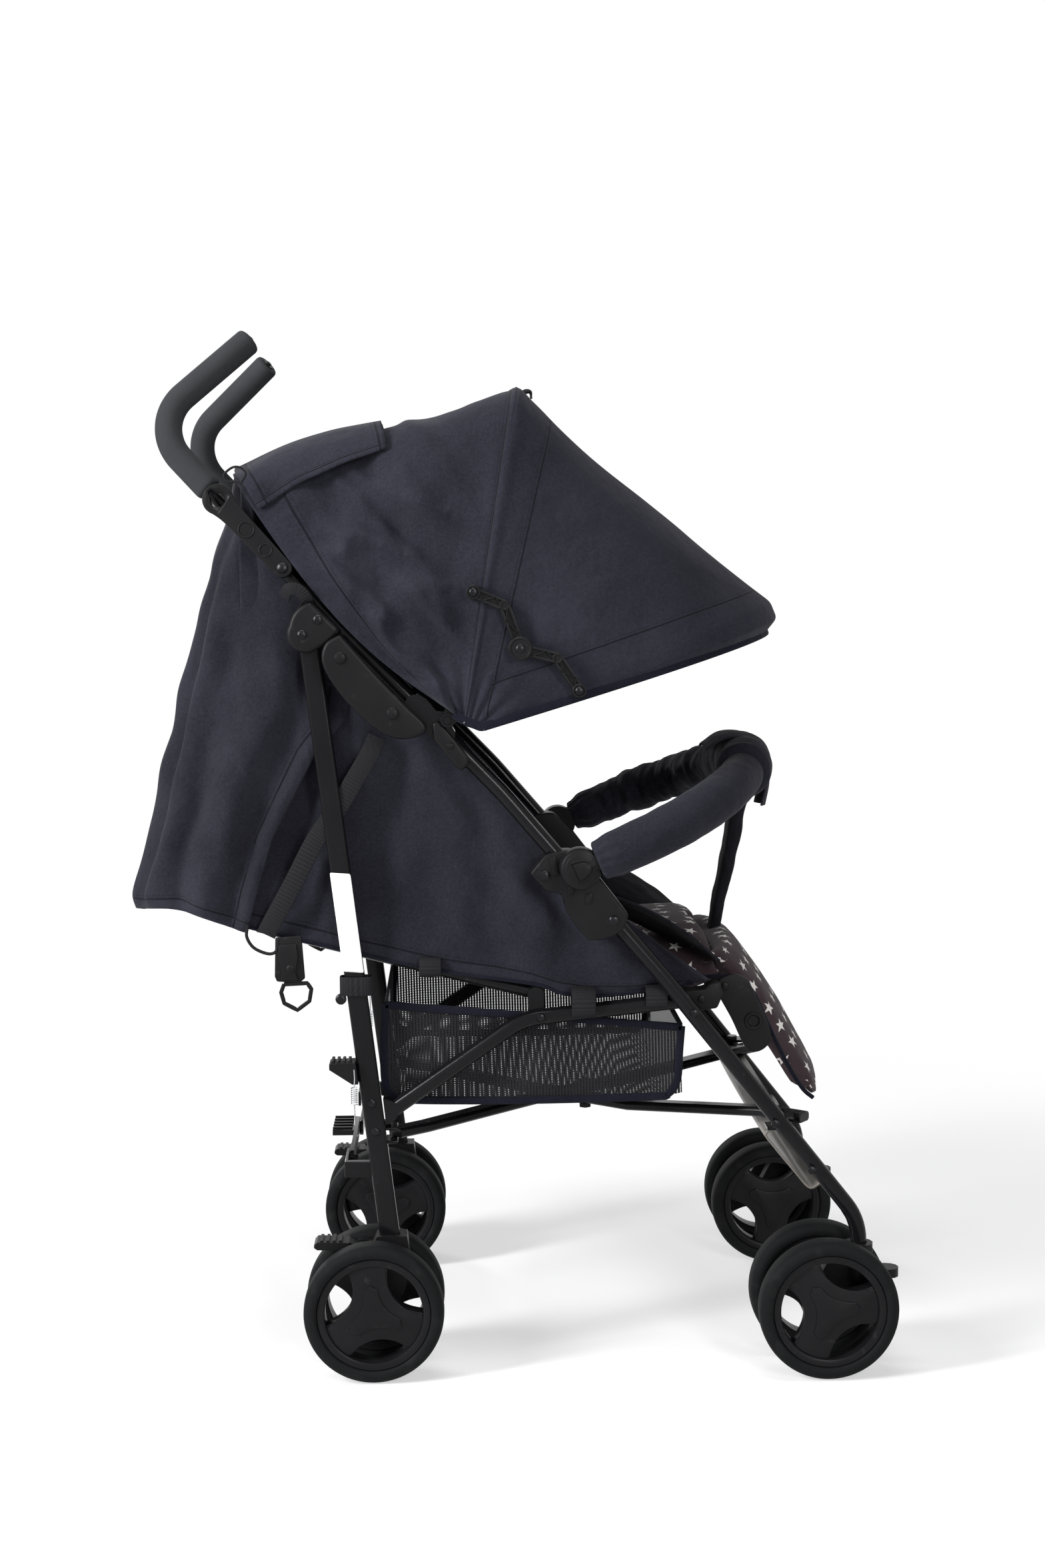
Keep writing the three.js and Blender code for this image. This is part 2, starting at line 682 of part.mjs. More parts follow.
function addScissor() {
  const { upper, lower } = crossLevel;
  const top = upper + crossBar.thick / 2;
  const bottom = lower - crossBar.thick / 2;
  const bolt = post(crossBolt.radius, bottom - 6, top + 2, crossing.x, 0);
  add('cross_bar_upper', join(
    scissorBar(upper),
    bolt,
    post(crossBolt.head, top - 1, top + 4, crossing.x, 0, 6),
    post(crossBolt.head, bottom - 6, bottom - 2 * gap, crossing.x, 0, 6),
  ), materials.steel);
  const boltHole = post(crossBolt.radius + gap, bottom - 8, top + 8, crossing.x, 0);
  add('cross_bar_lower', mirrored(cut(scissorBar(lower), boltHole)), materials.steel);
}

// Flat link from the bracket on a rear leg to the middle, lapped there with its partner.
function foldingLink(x, withPedal) {
  const { hingeY, z, plate: thickness, tall, pin: radius, pedalReach, pedalHalf } = rearLink;
  const shape = new THREE.Shape();
  shape.absarc(hingeY, z, tall / 2, radians(-90), radians(90), false);
  shape.absarc(-tall / 2, z, tall / 2, radians(90), radians(270), false);
  const bar = new THREE.ExtrudeGeometry(shape, {
    depth: thickness, bevelEnabled: false, curveSegments: 5,
  })
    .rotateX(Math.PI / 2)
    .rotateZ(Math.PI / 2);
  bar.translate(x - thickness, 0, 0);
  const hinge = new THREE.CylinderGeometry(radius + gap, radius + gap, 4 * thickness, 10)
    .rotateZ(Math.PI / 2)
    .translate(x, hingeY, z);
  const holed = cut(bar, hinge);
  if (!withPedal) return holed;
  const rear = x - thickness;
  const tread = block([rear - pedalReach, rear + 0.5], [-pedalHalf, pedalHalf], [z - 3, z + 3]);
  const ribs = [-2, -1, 0, 1, 2].map((step) => {
    const y = step * pedalHalf * 0.4;
    return block([rear - pedalReach, rear - 3], [y - 1.5, y + 1.5], [z + 2, z + 5]);
  });
  return join(holed, tread, ...ribs);
}

// ---------------------------------------------------------------- bumper

const bumperSlope = Math.atan2(bumper.rise, bumper.reach);

function armEnd(reach) {
  const [x, z] = bumper.hub;
  return [x + reach * Math.cos(bumperSlope), z + reach * Math.sin(bumperSlope)];
}

// Moulded bracket on the front leg: clamp plate, ribbed window and the lobe below the tube.
function bumperBracket() {
  const unit = bumper.bracketLength / 97;
  const spot = (a, b) => [bumper.hub[0] + a * unit, bumper.hub[1] + b * unit];
  const shape = new THREE.Shape();
  shape.moveTo(...spot(-49, -7));
  shape.lineTo(...spot(-34, 11));
  shape.quadraticCurveTo(...spot(-18, 17), ...spot(-6, 15));
  shape.lineTo(...spot(14, -4));
  shape.lineTo(...spot(48, -48));
  shape.quadraticCurveTo(...spot(47, -60), ...spot(40, -66));
  shape.quadraticCurveTo(...spot(24, -76), ...spot(8, -73));
  shape.quadraticCurveTo(...spot(-12, -52), ...spot(-15, -38));
  shape.quadraticCurveTo(...spot(-15, -30), ...spot(-20, -27));
  shape.lineTo(...spot(-33, -24));
  const face = bumper.bracketOuter;
  const body = join(
    plate(shape, bumper.bracketInner, face, 3),
    rivet(spot(-34, -9), face, 5),
    rivet(spot(34, -54), face, 5),
    pin(6, face - 2, face + 6, bumper.hub),
  );
  const slots = [
    outlined([spot(-26, 8), spot(-20, 11), spot(-19, 3), spot(-25, 1)]),
    outlined([spot(-25, -1), spot(-20, 1), spot(-21, -8), spot(-25, -7)]),
    outlined([spot(-13, -22), spot(-9, -20), spot(-7, -25), spot(-13, -29)]),
  ];
  return cut(body, tubeBore(), ...slots.map((slot) => plate(slot, face - 12, face + 1)));
}

const buttonShape = (margin) => {
  const [x, z] = bumper.hub;
  const half = bumper.buttonHalf + margin;
  const turn = bumperSlope;
  const shape = new THREE.Shape();
  const [forward, up] = [Math.cos(turn), Math.sin(turn)];
  const spot = (a, b) => [x + 3 + a * forward - b * up, z + a * up + b * forward];
  shape.moveTo(...spot(-half, half));
  shape.lineTo(...spot(-half, -half));
  shape.lineTo(...spot(0, -half));
  shape.absarc(...spot(0, 0), half, turn - Math.PI / 2, turn + Math.PI / 2, false);
  return shape;
};

// Round hub on the bracket with the socket that the padded bar plugs into.
function bumperHub() {
  const inner = bumper.bracketOuter + gap;
  const outer = bumper.hubOuter;
  const [ax, az] = armEnd(bumper.armReach);
  const start = armEnd(4);
  const y = (inner + outer) / 2 + 1.5;
  const socket = sweep(roundSection((outer - inner) / 2 - 1, 12), [
    new THREE.Vector3(start[0], y, start[1]), new THREE.Vector3(ax, y, az),
  ]);
  const drum = pin(bumper.hubRadius, inner, outer - 2, bumper.hub, 20);
  const face = pin(bumper.hubRadius - 2, outer - 4, outer, bumper.hub, 20);
  return cut(
    join(drum, face, socket),
    plate(buttonShape(gap), outer - bumper.buttonDepth, outer + 3, 4),
    pin(6 + gap, inner - 1, inner + 6.5, bumper.hub),
  );
}

function bumperButton() {
  const floor = bumper.hubOuter - bumper.buttonDepth;
  return plate(buttonShape(0), floor + 3 + gap, bumper.hubOuter + bumper.buttonProud, 4);
}

// Padded bar between the two hubs, with the strap that runs down to the seat.
function bumperBar() {
  const [mouthX, mouthZ] = armEnd(bumper.armReach + gap);
  const [x, z] = armEnd(bumper.armReach + bumper.straight);
  const y = bumper.bracketOuter + (bumper.hubOuter - bumper.bracketOuter) / 2 + 1.5;
  const steps = 12;
  const stations = Array.from({ length: steps + 1 }, (_, step) => {
    const angle = Math.PI * (step / steps - 0.5);
    const share = Math.cos(angle);
    return new THREE.Vector3(x + bumper.reach * share, y * Math.sin(angle), z + bumper.rise * share);
  });
  stations.unshift(new THREE.Vector3(mouthX, -y, mouthZ));
  stations.push(new THREE.Vector3(mouthX, y, mouthZ));
  const front = x + bumper.reach;
  const top = z + bumper.rise;
  const { half, thick, low } = crotchStrap;
  const strapShape = outlined([
    [front - 4, top], [front - 4 + thick, top], [crotchStrap.x + thick, low], [crotchStrap.x, low],
  ]);
  return join(sweep(roundSection(bumper.padRadius, 10), stations), plate(strapShape, -half, half));
}

// ---------------------------------------------------------------- canopy

const archTurns = [-90, -80, -66, -48, -26, 0, 26, 48, 66, 80, 90];

// Points over an arch that starts and ends beside the canopy pivots.
function arch(
  { from, crown, half, square },
  inset = 0,
  startShare = canopy.startShare,
  foot = canopy.pivotHalf,
) {
  return archTurns.map((degrees) => {
    const turn = radians(degrees);
    const share = Math.max(Math.cos(turn) ** (2 / square), Math.abs(degrees) === 90 ? startShare : 0);
    const across = Math.sign(degrees) * Math.abs(Math.sin(turn)) ** (2 / square);
    const [dx, dz] = [crown[0] - from[0], crown[1] - from[1]];
    const length = Math.hypot(dx, dz);
    const rise = share * (length - inset) / length;
    const width = foot + (half - foot) * share - inset;
    return new THREE.Vector3(from[0] + dx * rise, across * width, from[1] + dz * rise);
  });
}

const blend = (lineA, lineB, share) =>
  lineA.map((point, place) => point.clone().lerp(lineB[place], share));

function canopyCover() {
  const [hem, front, middle, rear] = ['hem', 'front', 'middle', 'rear'].map((name) => arch(hoods[name]));
  return sheet([
    hem, front, blend(front, middle, 0.33), blend(front, middle, 0.67),
    middle, blend(middle, rear, 0.5), rear,
  ], clothThickness);
}

// Bow under the cloth, with an eye at each end on the canopy pin.
function canopyBow(hood, eyeInner) {
  const eye = eyeInner + bow.thick / 2;
  const crown = [hood.crown[0], hood.crown[1] - bow.crownDrop];
  const stations = arch({ ...hood, from: canopy.pivot, crown }, bow.inset, 0, eye + bow.inset);
  const ends = [1, -1].map((side) => {
    const geometry = pin(7, eyeInner, eyeInner + bow.thick, canopy.pivot);
    return side > 0 ? geometry : mirrored(geometry);
  });
  return cut(
    join(sweep(stripSection(bow.thick, bow.wide), stations), ...ends),
    pin(4 + gap, -canopy.pivotHalf - 40, canopy.pivotHalf + 40, canopy.pivot, 12),
  );
}

// Strip with lightening windows between cross ribs.
function latticeArm(from, elbow, to) {
  const windows = [[from, elbow], [elbow, to]].flatMap(([a, b]) => {
    const length = Math.hypot(b[0] - a[0], b[1] - a[1]);
    const margin = (strut.discRadius + 3) / length;
    return [[margin, 0.46], [0.54, 1 - margin]].filter(([start, end]) => end > start)
      .map(([start, end]) => {
        const across = [a[1] - b[1], b[0] - a[0]].map((part) => part / length * strut.window);
        const corner = (share, side) => {
          const [x, z] = along(a, b, share);
          return [x + side * across[0], z + side * across[1]];
        };
        const opening = [corner(start, -1), corner(end, -1), corner(end, 1), corner(start, 1)];
        return plate(outlined(opening), strut.y - 1, strut.y + 3 * strut.thick);
      });
  });
  return { windows, bars: [link(from, elbow, strut.half), link(elbow, to, strut.half)] };
}

function strutArm(from, elbow, disc, inner, clothDrop, withDisc) {
  const { windows, bars } = latticeArm(from, elbow, disc);
  const outer = inner + strut.thick;
  const solidBars = bars.map((bar) => plate(bar, inner, outer, 3));
  const holed = cut(join(...solidBars), ...windows);
  const ends = [
    pin(strut.half + 1.5, inner, outer + 0.5, from, 10),
    pin(strut.boss, canopy.pivotHalf - clothDrop, inner + 1, from, 10),
  ];
  if (withDisc) {
    ends.push(pin(strut.discRadius, inner, outer, disc, 14), pin(3.5, inner, outer + 1.5, disc, 8));
  } else {
    ends.push(pin(strut.discRadius - 2, inner, outer, disc));
  }
  return join(holed, ...ends, rivet(from, outer + 0.5, 3));
}

const rearStrut = () =>
  strutArm(strut.rearPin, strut.rearElbow, strut.disc, strut.y, strut.rearDrop, false);

const frontStrut = () => {
  const inner = strut.y + strut.thick + gap;
  return strutArm(strut.frontPin, strut.frontElbow, strut.disc, inner, strut.frontDrop, true);
};

// ---------------------------------------------------------------- soft goods

function seatCushion() {
  const { rear, top, thick, half, frontRound } = seat;
  const front = legRest.hinge[0] - legRest.roll - gap;
  const shape = new THREE.Shape();
  shape.moveTo(rear, top - thick);
  shape.lineTo(front, top - thick);
  shape.quadraticCurveTo(front + frontRound, top - thick / 2, front, top);
  shape.lineTo(rear, top);
  const pan = plate(shape, -half, half, 3);
  const { foot, head, thick: board } = backrest;
  const slope = Math.atan2(head[1] - foot[1], head[0] - foot[0]);
  const lift = [board * Math.sin(slope), -board * Math.cos(slope)];
  const lowered = ([x, z]) => [x + lift[0], z + lift[1]];
  const back = outlined([foot, head, lowered(head), lowered(foot)]);
  const backHalf = recliner.y - recliner.radius - gap;
  return join(pan, plate(back, -backHalf, backHalf));
}

function legRestPad() {
  const { hinge, length, angle, thick, half, plateProud, roll } = legRest;
  const slope = radians(-angle);
  const forward = [Math.cos(slope), Math.sin(slope)];
  const up = [-forward[1], forward[0]];
  const spot = (a, b) => hinge.map((start, axis) => start + a * forward[axis] + b * up[axis]);
  const pad = outlined([
    spot(2, 4), spot(length, 4), spot(length, 4 + thick), spot(14, 4 + thick), spot(2, 4 + thick),
  ]);
  const side = new THREE.Shape();
  side.moveTo(...spot(0, roll));
  side.lineTo(...spot(0, -roll));
  side.quadraticCurveTo(...spot(14, -14), ...spot(30, -22));
  side.quadraticCurveTo(...spot(56, -22), ...spot(58, 2));
  side.lineTo(...spot(58, roll));
  const hole = pin(7, half - 20, half + 20, spot(34, -8), 12);
  const wing = cut(plate(side, half - 6, half + plateProud, 4), hole);
  return join(plate(pad, -half, half), pin(roll, -half, half, hinge, 10), wing, mirrored(wing));
}

// Mesh basket: four soft walls and a floor, open at the top.
function basketShell() {
  const { rear, front, topRear, topFront, wall } = basket;
  const floor = crossLevel.upper + basket.clear;
  const half = rail.y - rail.radius - gap;
  const profile = (inset, raise) => {
    const shape = new THREE.Shape();
    shape.moveTo(rear + inset, topRear + raise);
    shape.lineTo(rear + inset - 2, floor + 14 + inset);
    shape.quadraticCurveTo(rear + inset, floor + inset, rear + 18, floor + inset);
    shape.lineTo(front - 20, floor + inset);
    shape.quadraticCurveTo(front - inset, floor + inset, front - inset, floor + 24);
    shape.lineTo(front - inset - 4, topFront + raise);
    return shape;
  };
  return cut(
    plate(profile(0, 0), -half, half, 4),
    plate(profile(wall, 20), wall - half, half - wall, 4),
  );
}

// Cloth sides and back of the seat, from the side tubes round behind the backrest.
function tentShell() {
  const sideHalf = recliner.y + recliner.radius + clothThickness + 2 * gap;
  const rearHalf = sideHalf + tent.rearFlare;
  const levels = [0, 0.22, 0.45, 0.7, 1];
  const sideStops = [0, 0.25, 0.5, 0.75, 0.93];
  const rows = levels.map((level) => {
    const front = along(tent.front, tent.frontTop, level);
    const rear = along(tent.rear, tent.rearTop, level);
    const narrow = (width) => width + (tent.topHalf - width) * level ** 1.5;
    const sag = (share) => tent.sag * Math.sin(Math.PI * share ** 0.8) * (1 - level) ** 2;
    const side = sideStops.map((share) => {
      const [x, z] = along(front, rear, share);
      const width = share > 0.9 ? narrow(rearHalf) - 4 : narrow(sideHalf);
      return new THREE.Vector3(x, width, z - sag(share));
    });
    const back = [1, 0.6, 0].map((share) => {
      const bulge = tent.rearBulge * (1 - level * 0.6) * (1 - share ** 2);
      const drop = 22 * (1 - level) * (1 - share ** 2);
      return new THREE.Vector3(rear[0] - bulge, (narrow(rearHalf) - 8) * share, rear[1] - drop);
    });
    const half = [...side, ...back];
    const other = half.slice(0, -1).reverse().map(({ x, y, z }) => new THREE.Vector3(x, -y, z));
    return [...half, ...other];
  });
  return sheet(rows, clothThickness);
}

function footrestSheet() {
  const { lip, thick } = footrest;
  const [high, low] = [footrest.high, footrest.low].map((z) => [legLine(z) - footrest.behind, z]);
  const half = legSide(footrest.low) - tube.radius - gap;
  const shape = outlined([
    high, low, [low[0] + lip, low[1] + lip * 0.9], [low[0] + lip - 2, low[1] + lip * 0.9 + 2],
    [low[0] + 1, low[1] + thick + 1.5], [high[0] + thick * 0.8, high[1] + thick],
  ]);
  return plate(shape, -half, half);
}

// ---------------------------------------------------------------- brakes, locks and latch

function rearAxleHousing() {
  const { x, y } = rearWheels;
  const half = (rearWheels.spacing - wheel.width) / 2 - 1.2;
  const [px, pz] = brake.pivot;
  const shape = new THREE.Shape();
  const top = wheel.radius + axle.housingRise;
  const spot = (ahead, share) => [x + ahead, wheel.radius + share * axle.housingRise];
  shape.moveTo(...spot(3, 1));
  shape.lineTo(...spot(33, 1));
  shape.quadraticCurveTo(...spot(40, 0.59), ...spot(30, 0.2));
  shape.quadraticCurveTo(...spot(22, -0.14), x + 4, wheel.radius - 13);
  shape.absarc(x, wheel.radius, 13, radians(-70), radians(-180), true);
  shape.quadraticCurveTo(...spot(-14, 0.37), px - 7, pz - 8);
  shape.quadraticCurveTo(px - 12, pz + 6, px - 2, pz + 8);
  shape.lineTo(x - 2, top - 9);
  const room = plate(outlined([
    [px - 20, pz + 12], [px - 20, pz - 14], [px + 2, pz - 9.5], [px + 9.5, pz - 2], [px + 8, pz + 12],
  ]), y - half + 3, y + half - 3);
  const body = cut(plate(shape, y - half, y + half, 3), room, rearLegBar(gap));
  return join(body, axleBar(rearWheels), pin(brake.pin, y - half + 1, y + half - 1, brake.pivot, 10));
}

// Ribbed foot pedal on the housing's pin.
function brakePedal() {
  const { y } = rearWheels;
  const half = (rearWheels.spacing - wheel.width) / 2 - 1.2;
  const [px, pz] = brake.pivot;
  const { hub: radius, pin: pinRadius, reach, rise, thick, ribs } = brake;
  const neck = plate(outlined([
    [px, pz + radius], [px - 13, pz + rise + 6], [px - 13, pz + rise - 2], [px - 1, pz - radius],
  ]), y - half + 3 + gap, y + half - 3 - gap);
  const tread = new THREE.Shape();
  tread.moveTo(px - 11, pz + rise + 6);
  tread.lineTo(px - reach + 4, pz + rise + 7);
  tread.quadraticCurveTo(px - reach - 3, pz + rise + 2, px - reach + 4, pz + rise + 7 - thick);
  tread.lineTo(px - 13, pz + rise - 2);
  const teeth = Array.from({ length: ribs }, (_, number) => {
    const x = px - reach + 7 + number * (reach - 22) / ribs;
    return block([x, x + 3], [y - half + 1, y + half - 1], [pz + rise + 5, pz + rise + 8.5]);
  });
  const body = join(
    pin(radius, y - half + 3 + gap, y + half - 3 - gap, brake.pivot, 14),
    neck, plate(tread, y - half, y + half, 3), ...teeth,
  );
  return cut(body, pin(pinRadius + gap, y - half - 1, y + half + 1, brake.pivot, 10));
}

// Wedge-shaped pedal that slides up the back of the right rear leg to free the fold.
function legLockPedal() {
  const { z, tall, reach, half, ribs } = lockPedal;
  const face = (height) => legAt(height) - leg.wide / 2 * 1.008 - gap;
  const top = z + tall;
  const tip = face(top) - reach;
  const shape = outlined([
    [face(z), z], [face(top), top], [tip, top - 1], [tip, top - 7], [face(z) - 6, z],
  ]);
  const teeth = Array.from({ length: ribs }, (_, number) => {
    const x = tip + 2 + number * (reach - 4) / ribs;
    return block([x, x + 3], [leg.y - half + 1, leg.y + half - 1], [top - 2, top + 2]);
  });
  return mirrored(join(plate(shape, leg.y - half, leg.y + half), ...teeth));
}

// Height of the latch strap over the middle of the tube, so that it clears the grip.
const latchLift = handle.gripRadius + 2 * gap;

// Slotted strap beside the right handle that ties the folded stroller together.
function carryLatch() {
  const { length, ring, arm, thick } = latch;
  const shape = new THREE.Shape();
  shape.absarc(0, 0, arm, radians(90), radians(270), false);
  shape.lineTo(length - 24, -arm - 1);
  shape.absarc(length, 0, ring, radians(-125), radians(125), false);
  shape.lineTo(length - 24, arm + 1);
  const keyhole = new THREE.Path();
  keyhole.absarc(length - 1, 0, 7.5, radians(35), radians(325), false);
  keyhole.absarc(length + 8, 0, 3.5, radians(-75), radians(75), false);
  shape.holes.push(keyhole);
  const strip = new THREE.ExtrudeGeometry(shape, {
    depth: thick, bevelEnabled: false, curveSegments: 3,
  });
  const eyes = [[24, 6.5], [52, 8]].map(([place, radius]) =>
    new THREE.CylinderGeometry(radius, radius, 1.2, 8)
      .rotateX(Math.PI / 2)
      .translate(place, 0, thick + 0.4));
  const drop = latchLift - tube.radius - gap;
  const boss = new THREE.CylinderGeometry(5, 5, drop + thick + 2, 10)
    .rotateX(Math.PI / 2)
    .translate(0, 0, (thick + 2 - drop) / 2);
  return join(strip, ...eyes, boss).applyMatrix4(latchFrame());
}

// Frame of the latch: x up along the handle, z outward from it, origin on its rivet.
function latchFrame() {
  const hinge = new THREE.Vector3(sideLine.hinge[0], tube.y - 4, sideLine.hinge[1]);
  const up = vector(handle.bend).sub(hinge).normalize();
  const share = (latch.pivotX - hinge.x) / up.x;
  const outward = new THREE.Vector3(0, 1, 0).addScaledVector(up, -up.y).normalize();
  const side = outward.clone().cross(up);
  const origin = hinge.clone().addScaledVector(up, share)
    .addScaledVector(outward, latchLift);
  return new THREE.Matrix4().makeBasis(up, side, outward).setPosition(origin);
}

// ---------------------------------------------------------------- putting it together

addWheels('rear', rearWheels);
addWheels('front', frontWheels);
addPair('front_fork', frontFork(), materials.plastic);
addPair('rear_axle_housing', rearAxleHousing(), materials.plastic);
addPair('brake_pedal', brakePedal(), materials.plastic);
addPair('side_tube', sideTube(), materials.steel);
addPair('handle_grip', grip(), materials.foam);
addPair('rear_leg', rearLeg(), materials.steel);
addPair('upper_hinge', upperHinge(), materials.plastic);
addPair('side_rail', sideRail(), materials.steel);
addPair('backrest_tube', backrestTube(), materials.steel);
addPair('bumper_bracket', bumperBracket(), materials.plastic);
addPair('bumper_hub', bumperHub(), materials.plastic);
addPair('bumper_button', bumperButton(), materials.plastic);
addScissor();
add('rear_link_right', mirrored(foldingLink(rearLink.x, true)), materials.steel);
add('rear_link_left', foldingLink(rearLink.x + rearLink.plate + gap, false), materials.steel);
add('bumper_bar', bumperBar(), materials.fabric);
add('canopy_cover', canopyCover(), materials.fabric);
add('canopy_bow_middle', canopyBow(hoods.middle, bowEye(0)), materials.plastic);
add('canopy_bow_front', canopyBow(hoods.front, bowEye(1)), materials.plastic);
addPair('canopy_strut_rear', rearStrut(), materials.plastic);
addPair('canopy_strut_front', frontStrut(), materials.plastic);
add('seat_pad', seatCushion(), materials.print);
add('leg_rest', legRestPad(), materials.print);
add('mesh_basket', basketShell(), materials.mesh);
add('seat_enclosure', tentShell(), materials.fabric);
add('footrest_sheet', footrestSheet(), materials.sheet);
add('fold_lock_pedal', legLockPedal(), materials.plastic);
add('carry_latch', mirrored(carryLatch()), materials.plastic);

// The origin is the middle of the footprint, on the floor.
const box = new THREE.Box3().setFromObject(stroller);
stroller.position.set(-(box.min.x + box.max.x) / 2, -(box.min.y + box.max.y) / 2, -box.min.z);
stroller.updateMatrixWorld(true);

export default stroller;
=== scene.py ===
import json
import math
from itertools import accumulate, product

import bmesh
import bpy
from mathutils import Matrix, Vector, noise

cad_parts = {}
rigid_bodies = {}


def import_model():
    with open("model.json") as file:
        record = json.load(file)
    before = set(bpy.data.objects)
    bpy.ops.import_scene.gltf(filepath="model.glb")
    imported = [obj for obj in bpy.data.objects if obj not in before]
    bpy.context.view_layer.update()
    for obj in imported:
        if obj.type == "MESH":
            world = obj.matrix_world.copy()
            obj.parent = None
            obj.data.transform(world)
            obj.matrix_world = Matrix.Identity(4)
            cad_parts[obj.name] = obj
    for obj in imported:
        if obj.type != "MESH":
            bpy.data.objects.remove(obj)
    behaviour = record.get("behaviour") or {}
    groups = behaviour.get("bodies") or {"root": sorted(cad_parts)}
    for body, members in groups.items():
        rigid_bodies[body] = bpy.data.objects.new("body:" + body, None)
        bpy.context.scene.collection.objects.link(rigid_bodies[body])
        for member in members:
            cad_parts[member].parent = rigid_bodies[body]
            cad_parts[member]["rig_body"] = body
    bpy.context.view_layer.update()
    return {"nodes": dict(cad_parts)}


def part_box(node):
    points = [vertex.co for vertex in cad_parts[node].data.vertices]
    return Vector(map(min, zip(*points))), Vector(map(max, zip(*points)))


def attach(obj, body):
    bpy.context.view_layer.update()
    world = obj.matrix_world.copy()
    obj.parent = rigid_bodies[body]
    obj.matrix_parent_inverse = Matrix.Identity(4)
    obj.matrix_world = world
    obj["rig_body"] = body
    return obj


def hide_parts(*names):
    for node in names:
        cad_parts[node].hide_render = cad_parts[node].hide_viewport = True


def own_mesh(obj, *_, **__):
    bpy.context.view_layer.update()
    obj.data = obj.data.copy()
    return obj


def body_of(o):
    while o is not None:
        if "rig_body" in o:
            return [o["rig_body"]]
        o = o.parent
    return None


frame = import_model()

axleX = sum(corner.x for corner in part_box("rear_tyre_outer_right")) / 2
sides = {"right": -1, "left": 1}


def mm(value):
    return value / 1000


# Millimetres ahead of the rear axle, to the child's left and up from the floor, as a place in the frame.
def at(x, y, z):
    return Vector((axleX + mm(x), mm(y), mm(z)))


def line(corners, y=0):
    return [at(x, y, z) for x, z in corners]


# A shader socket that takes part in Python sums.
class Wire:
    def __init__(self, look, socket):
        self.look = look
        self.socket = socket

    def maths(self, operation, *others):
        return self.look.node("Math", {"operation": operation}, dict(enumerate((self, *others))))

    def __add__(self, other):
        return self.maths("ADD", other)

    def __sub__(self, other):
        return self.maths("SUBTRACT", other)

    def __mul__(self, other):
        return self.maths("MULTIPLY", other)

    def __rsub__(self, other):
        return self.look.node("Math", {"operation": "SUBTRACT"}, {0: other, 1: self})

    def clamp(self):
        return self.look.node("Clamp", {}, {0: self})

    # A sine wave whose length is the pitch in metres.
    def stripes(self, pitch):
        return (self * (2 * math.pi / pitch)).maths("SINE")

    def over(self, low, high):
        return self.look.node("MapRange", {"interpolation_type": "SMOOTHSTEP"},
                              {"Value": self, "From Min": low, "From Max": high})


class Look:
    def __init__(self, name, kind="materials", shader="Principled BSDF", **constants):
        self.owner = getattr(bpy.data, kind).new(name)
        self.owner.use_nodes = True
        self.tree = self.owner.node_tree
        self.shader = self.tree.nodes[shader]
        self.out(**constants)

    def node(self, kind, settings, inputs, output=0):
        made = self.tree.nodes.new("ShaderNode" + kind)
        for key, value in settings.items():
            setattr(made, key, value)
        for key, value in inputs.items():
            self.feed(made.inputs[key], value)
        return Wire(self, made.outputs[output])

    def feed(self, socket, value):
        if isinstance(value, Wire):
            self.tree.links.new(value.socket, socket)
        else:
            socket.default_value = value

    def out(self, **wires):
        for socketName, wire in wires.items():
            self.feed(self.shader.inputs[socketName.replace("_", " ")], wire)
        return self.owner

    def place(self, source="Object"):
        return self.node("TexCoord", {}, {}, source)

    def split(self, vector):
        parts = self.node("SeparateXYZ", {}, {0: vector})
        return [Wire(self, socket) for socket in parts.socket.node.outputs]

    def grain(self, vector, scale, detail=3.0):
        return self.node("TexNoise", {}, {"Vector": vector, "Scale": scale, "Detail": detail}, "Fac")

    def mix(self, factor, first, second):
        return self.node("Mix", {"data_type": "RGBA"}, {"Factor": factor, 6: first, 7: second}, 2)

    def shade(self, factor, dark, light):
        return self.mix(factor, (*dark, 1), (*light, 1))

    def bump(self, height, strength, distance, normal=None):
        inputs = {"Height": height, "Strength": strength, "Distance": distance}
        return self.node("Bump", {}, {**inputs, "Normal": normal} if normal else inputs)

    # Plain weave on the piece's own UV map, which is in metres.
    def weave(self, pitch):
        u, v = self.split(self.place("UV"))[:2]
        return u.stripes(pitch) * v.stripes(pitch) * 0.5 + 0.5

    # 1 where the camera, a mirror or clear material looks, 0 for light.
    def seen(self):
        path = self.node("LightPath", {}, {}).socket.node.outputs
        camera, glossy, clear = (Wire(self, path[name]) for name in
                                 ("Is Camera Ray", "Is Glossy Ray", "Is Transmission Ray"))
        return camera.maths("MAXIMUM", glossy).maths("MAXIMUM", clear)


# Paint, plastic, rubber or bare metal: a cloudy tone, a fine grain in relief and rubbed patches.
# cloud is (scale, detail, spread of roughness), grain is (scale, detail, strength, depth) and
# wear is (scale, detail, start, end, share of the rubbed tone, added roughness, tone).
def hardLook(name, dark, light, rough, cloud=(20, 3, 0.1), grain=(1600, 2, 0.25, 0.0002),
             wear=(90, 5, 0.62, 0.8, 0.25, 0.1, 0.04), **constants):
    look = Look(name, **constants)
    place = look.place()
    patches = look.grain(place, *cloud[:2])
    color = look.shade(patches, dark, light)
    roughness = patches * cloud[2] + rough
    if wear:
        rub = look.grain(place, *wear[:2]).over(*wear[2:4])
        color = look.mix(rub * wear[4], color, (wear[6], wear[6], wear[6] * 1.04, 1))
        roughness += rub * wear[5]
    relief = look.bump(look.grain(place, *grain[:2]), *grain[2:])
    return look.out(Base_Color=color, Roughness=roughness, Normal=relief)


def metalLook(name, color, rough):
    return hardLook(name, [part * 0.55 for part in color], color, rough, (160, 4, 0.25),
                    (900, 2, 0.1, 0.0002), None, Metallic=1.0)


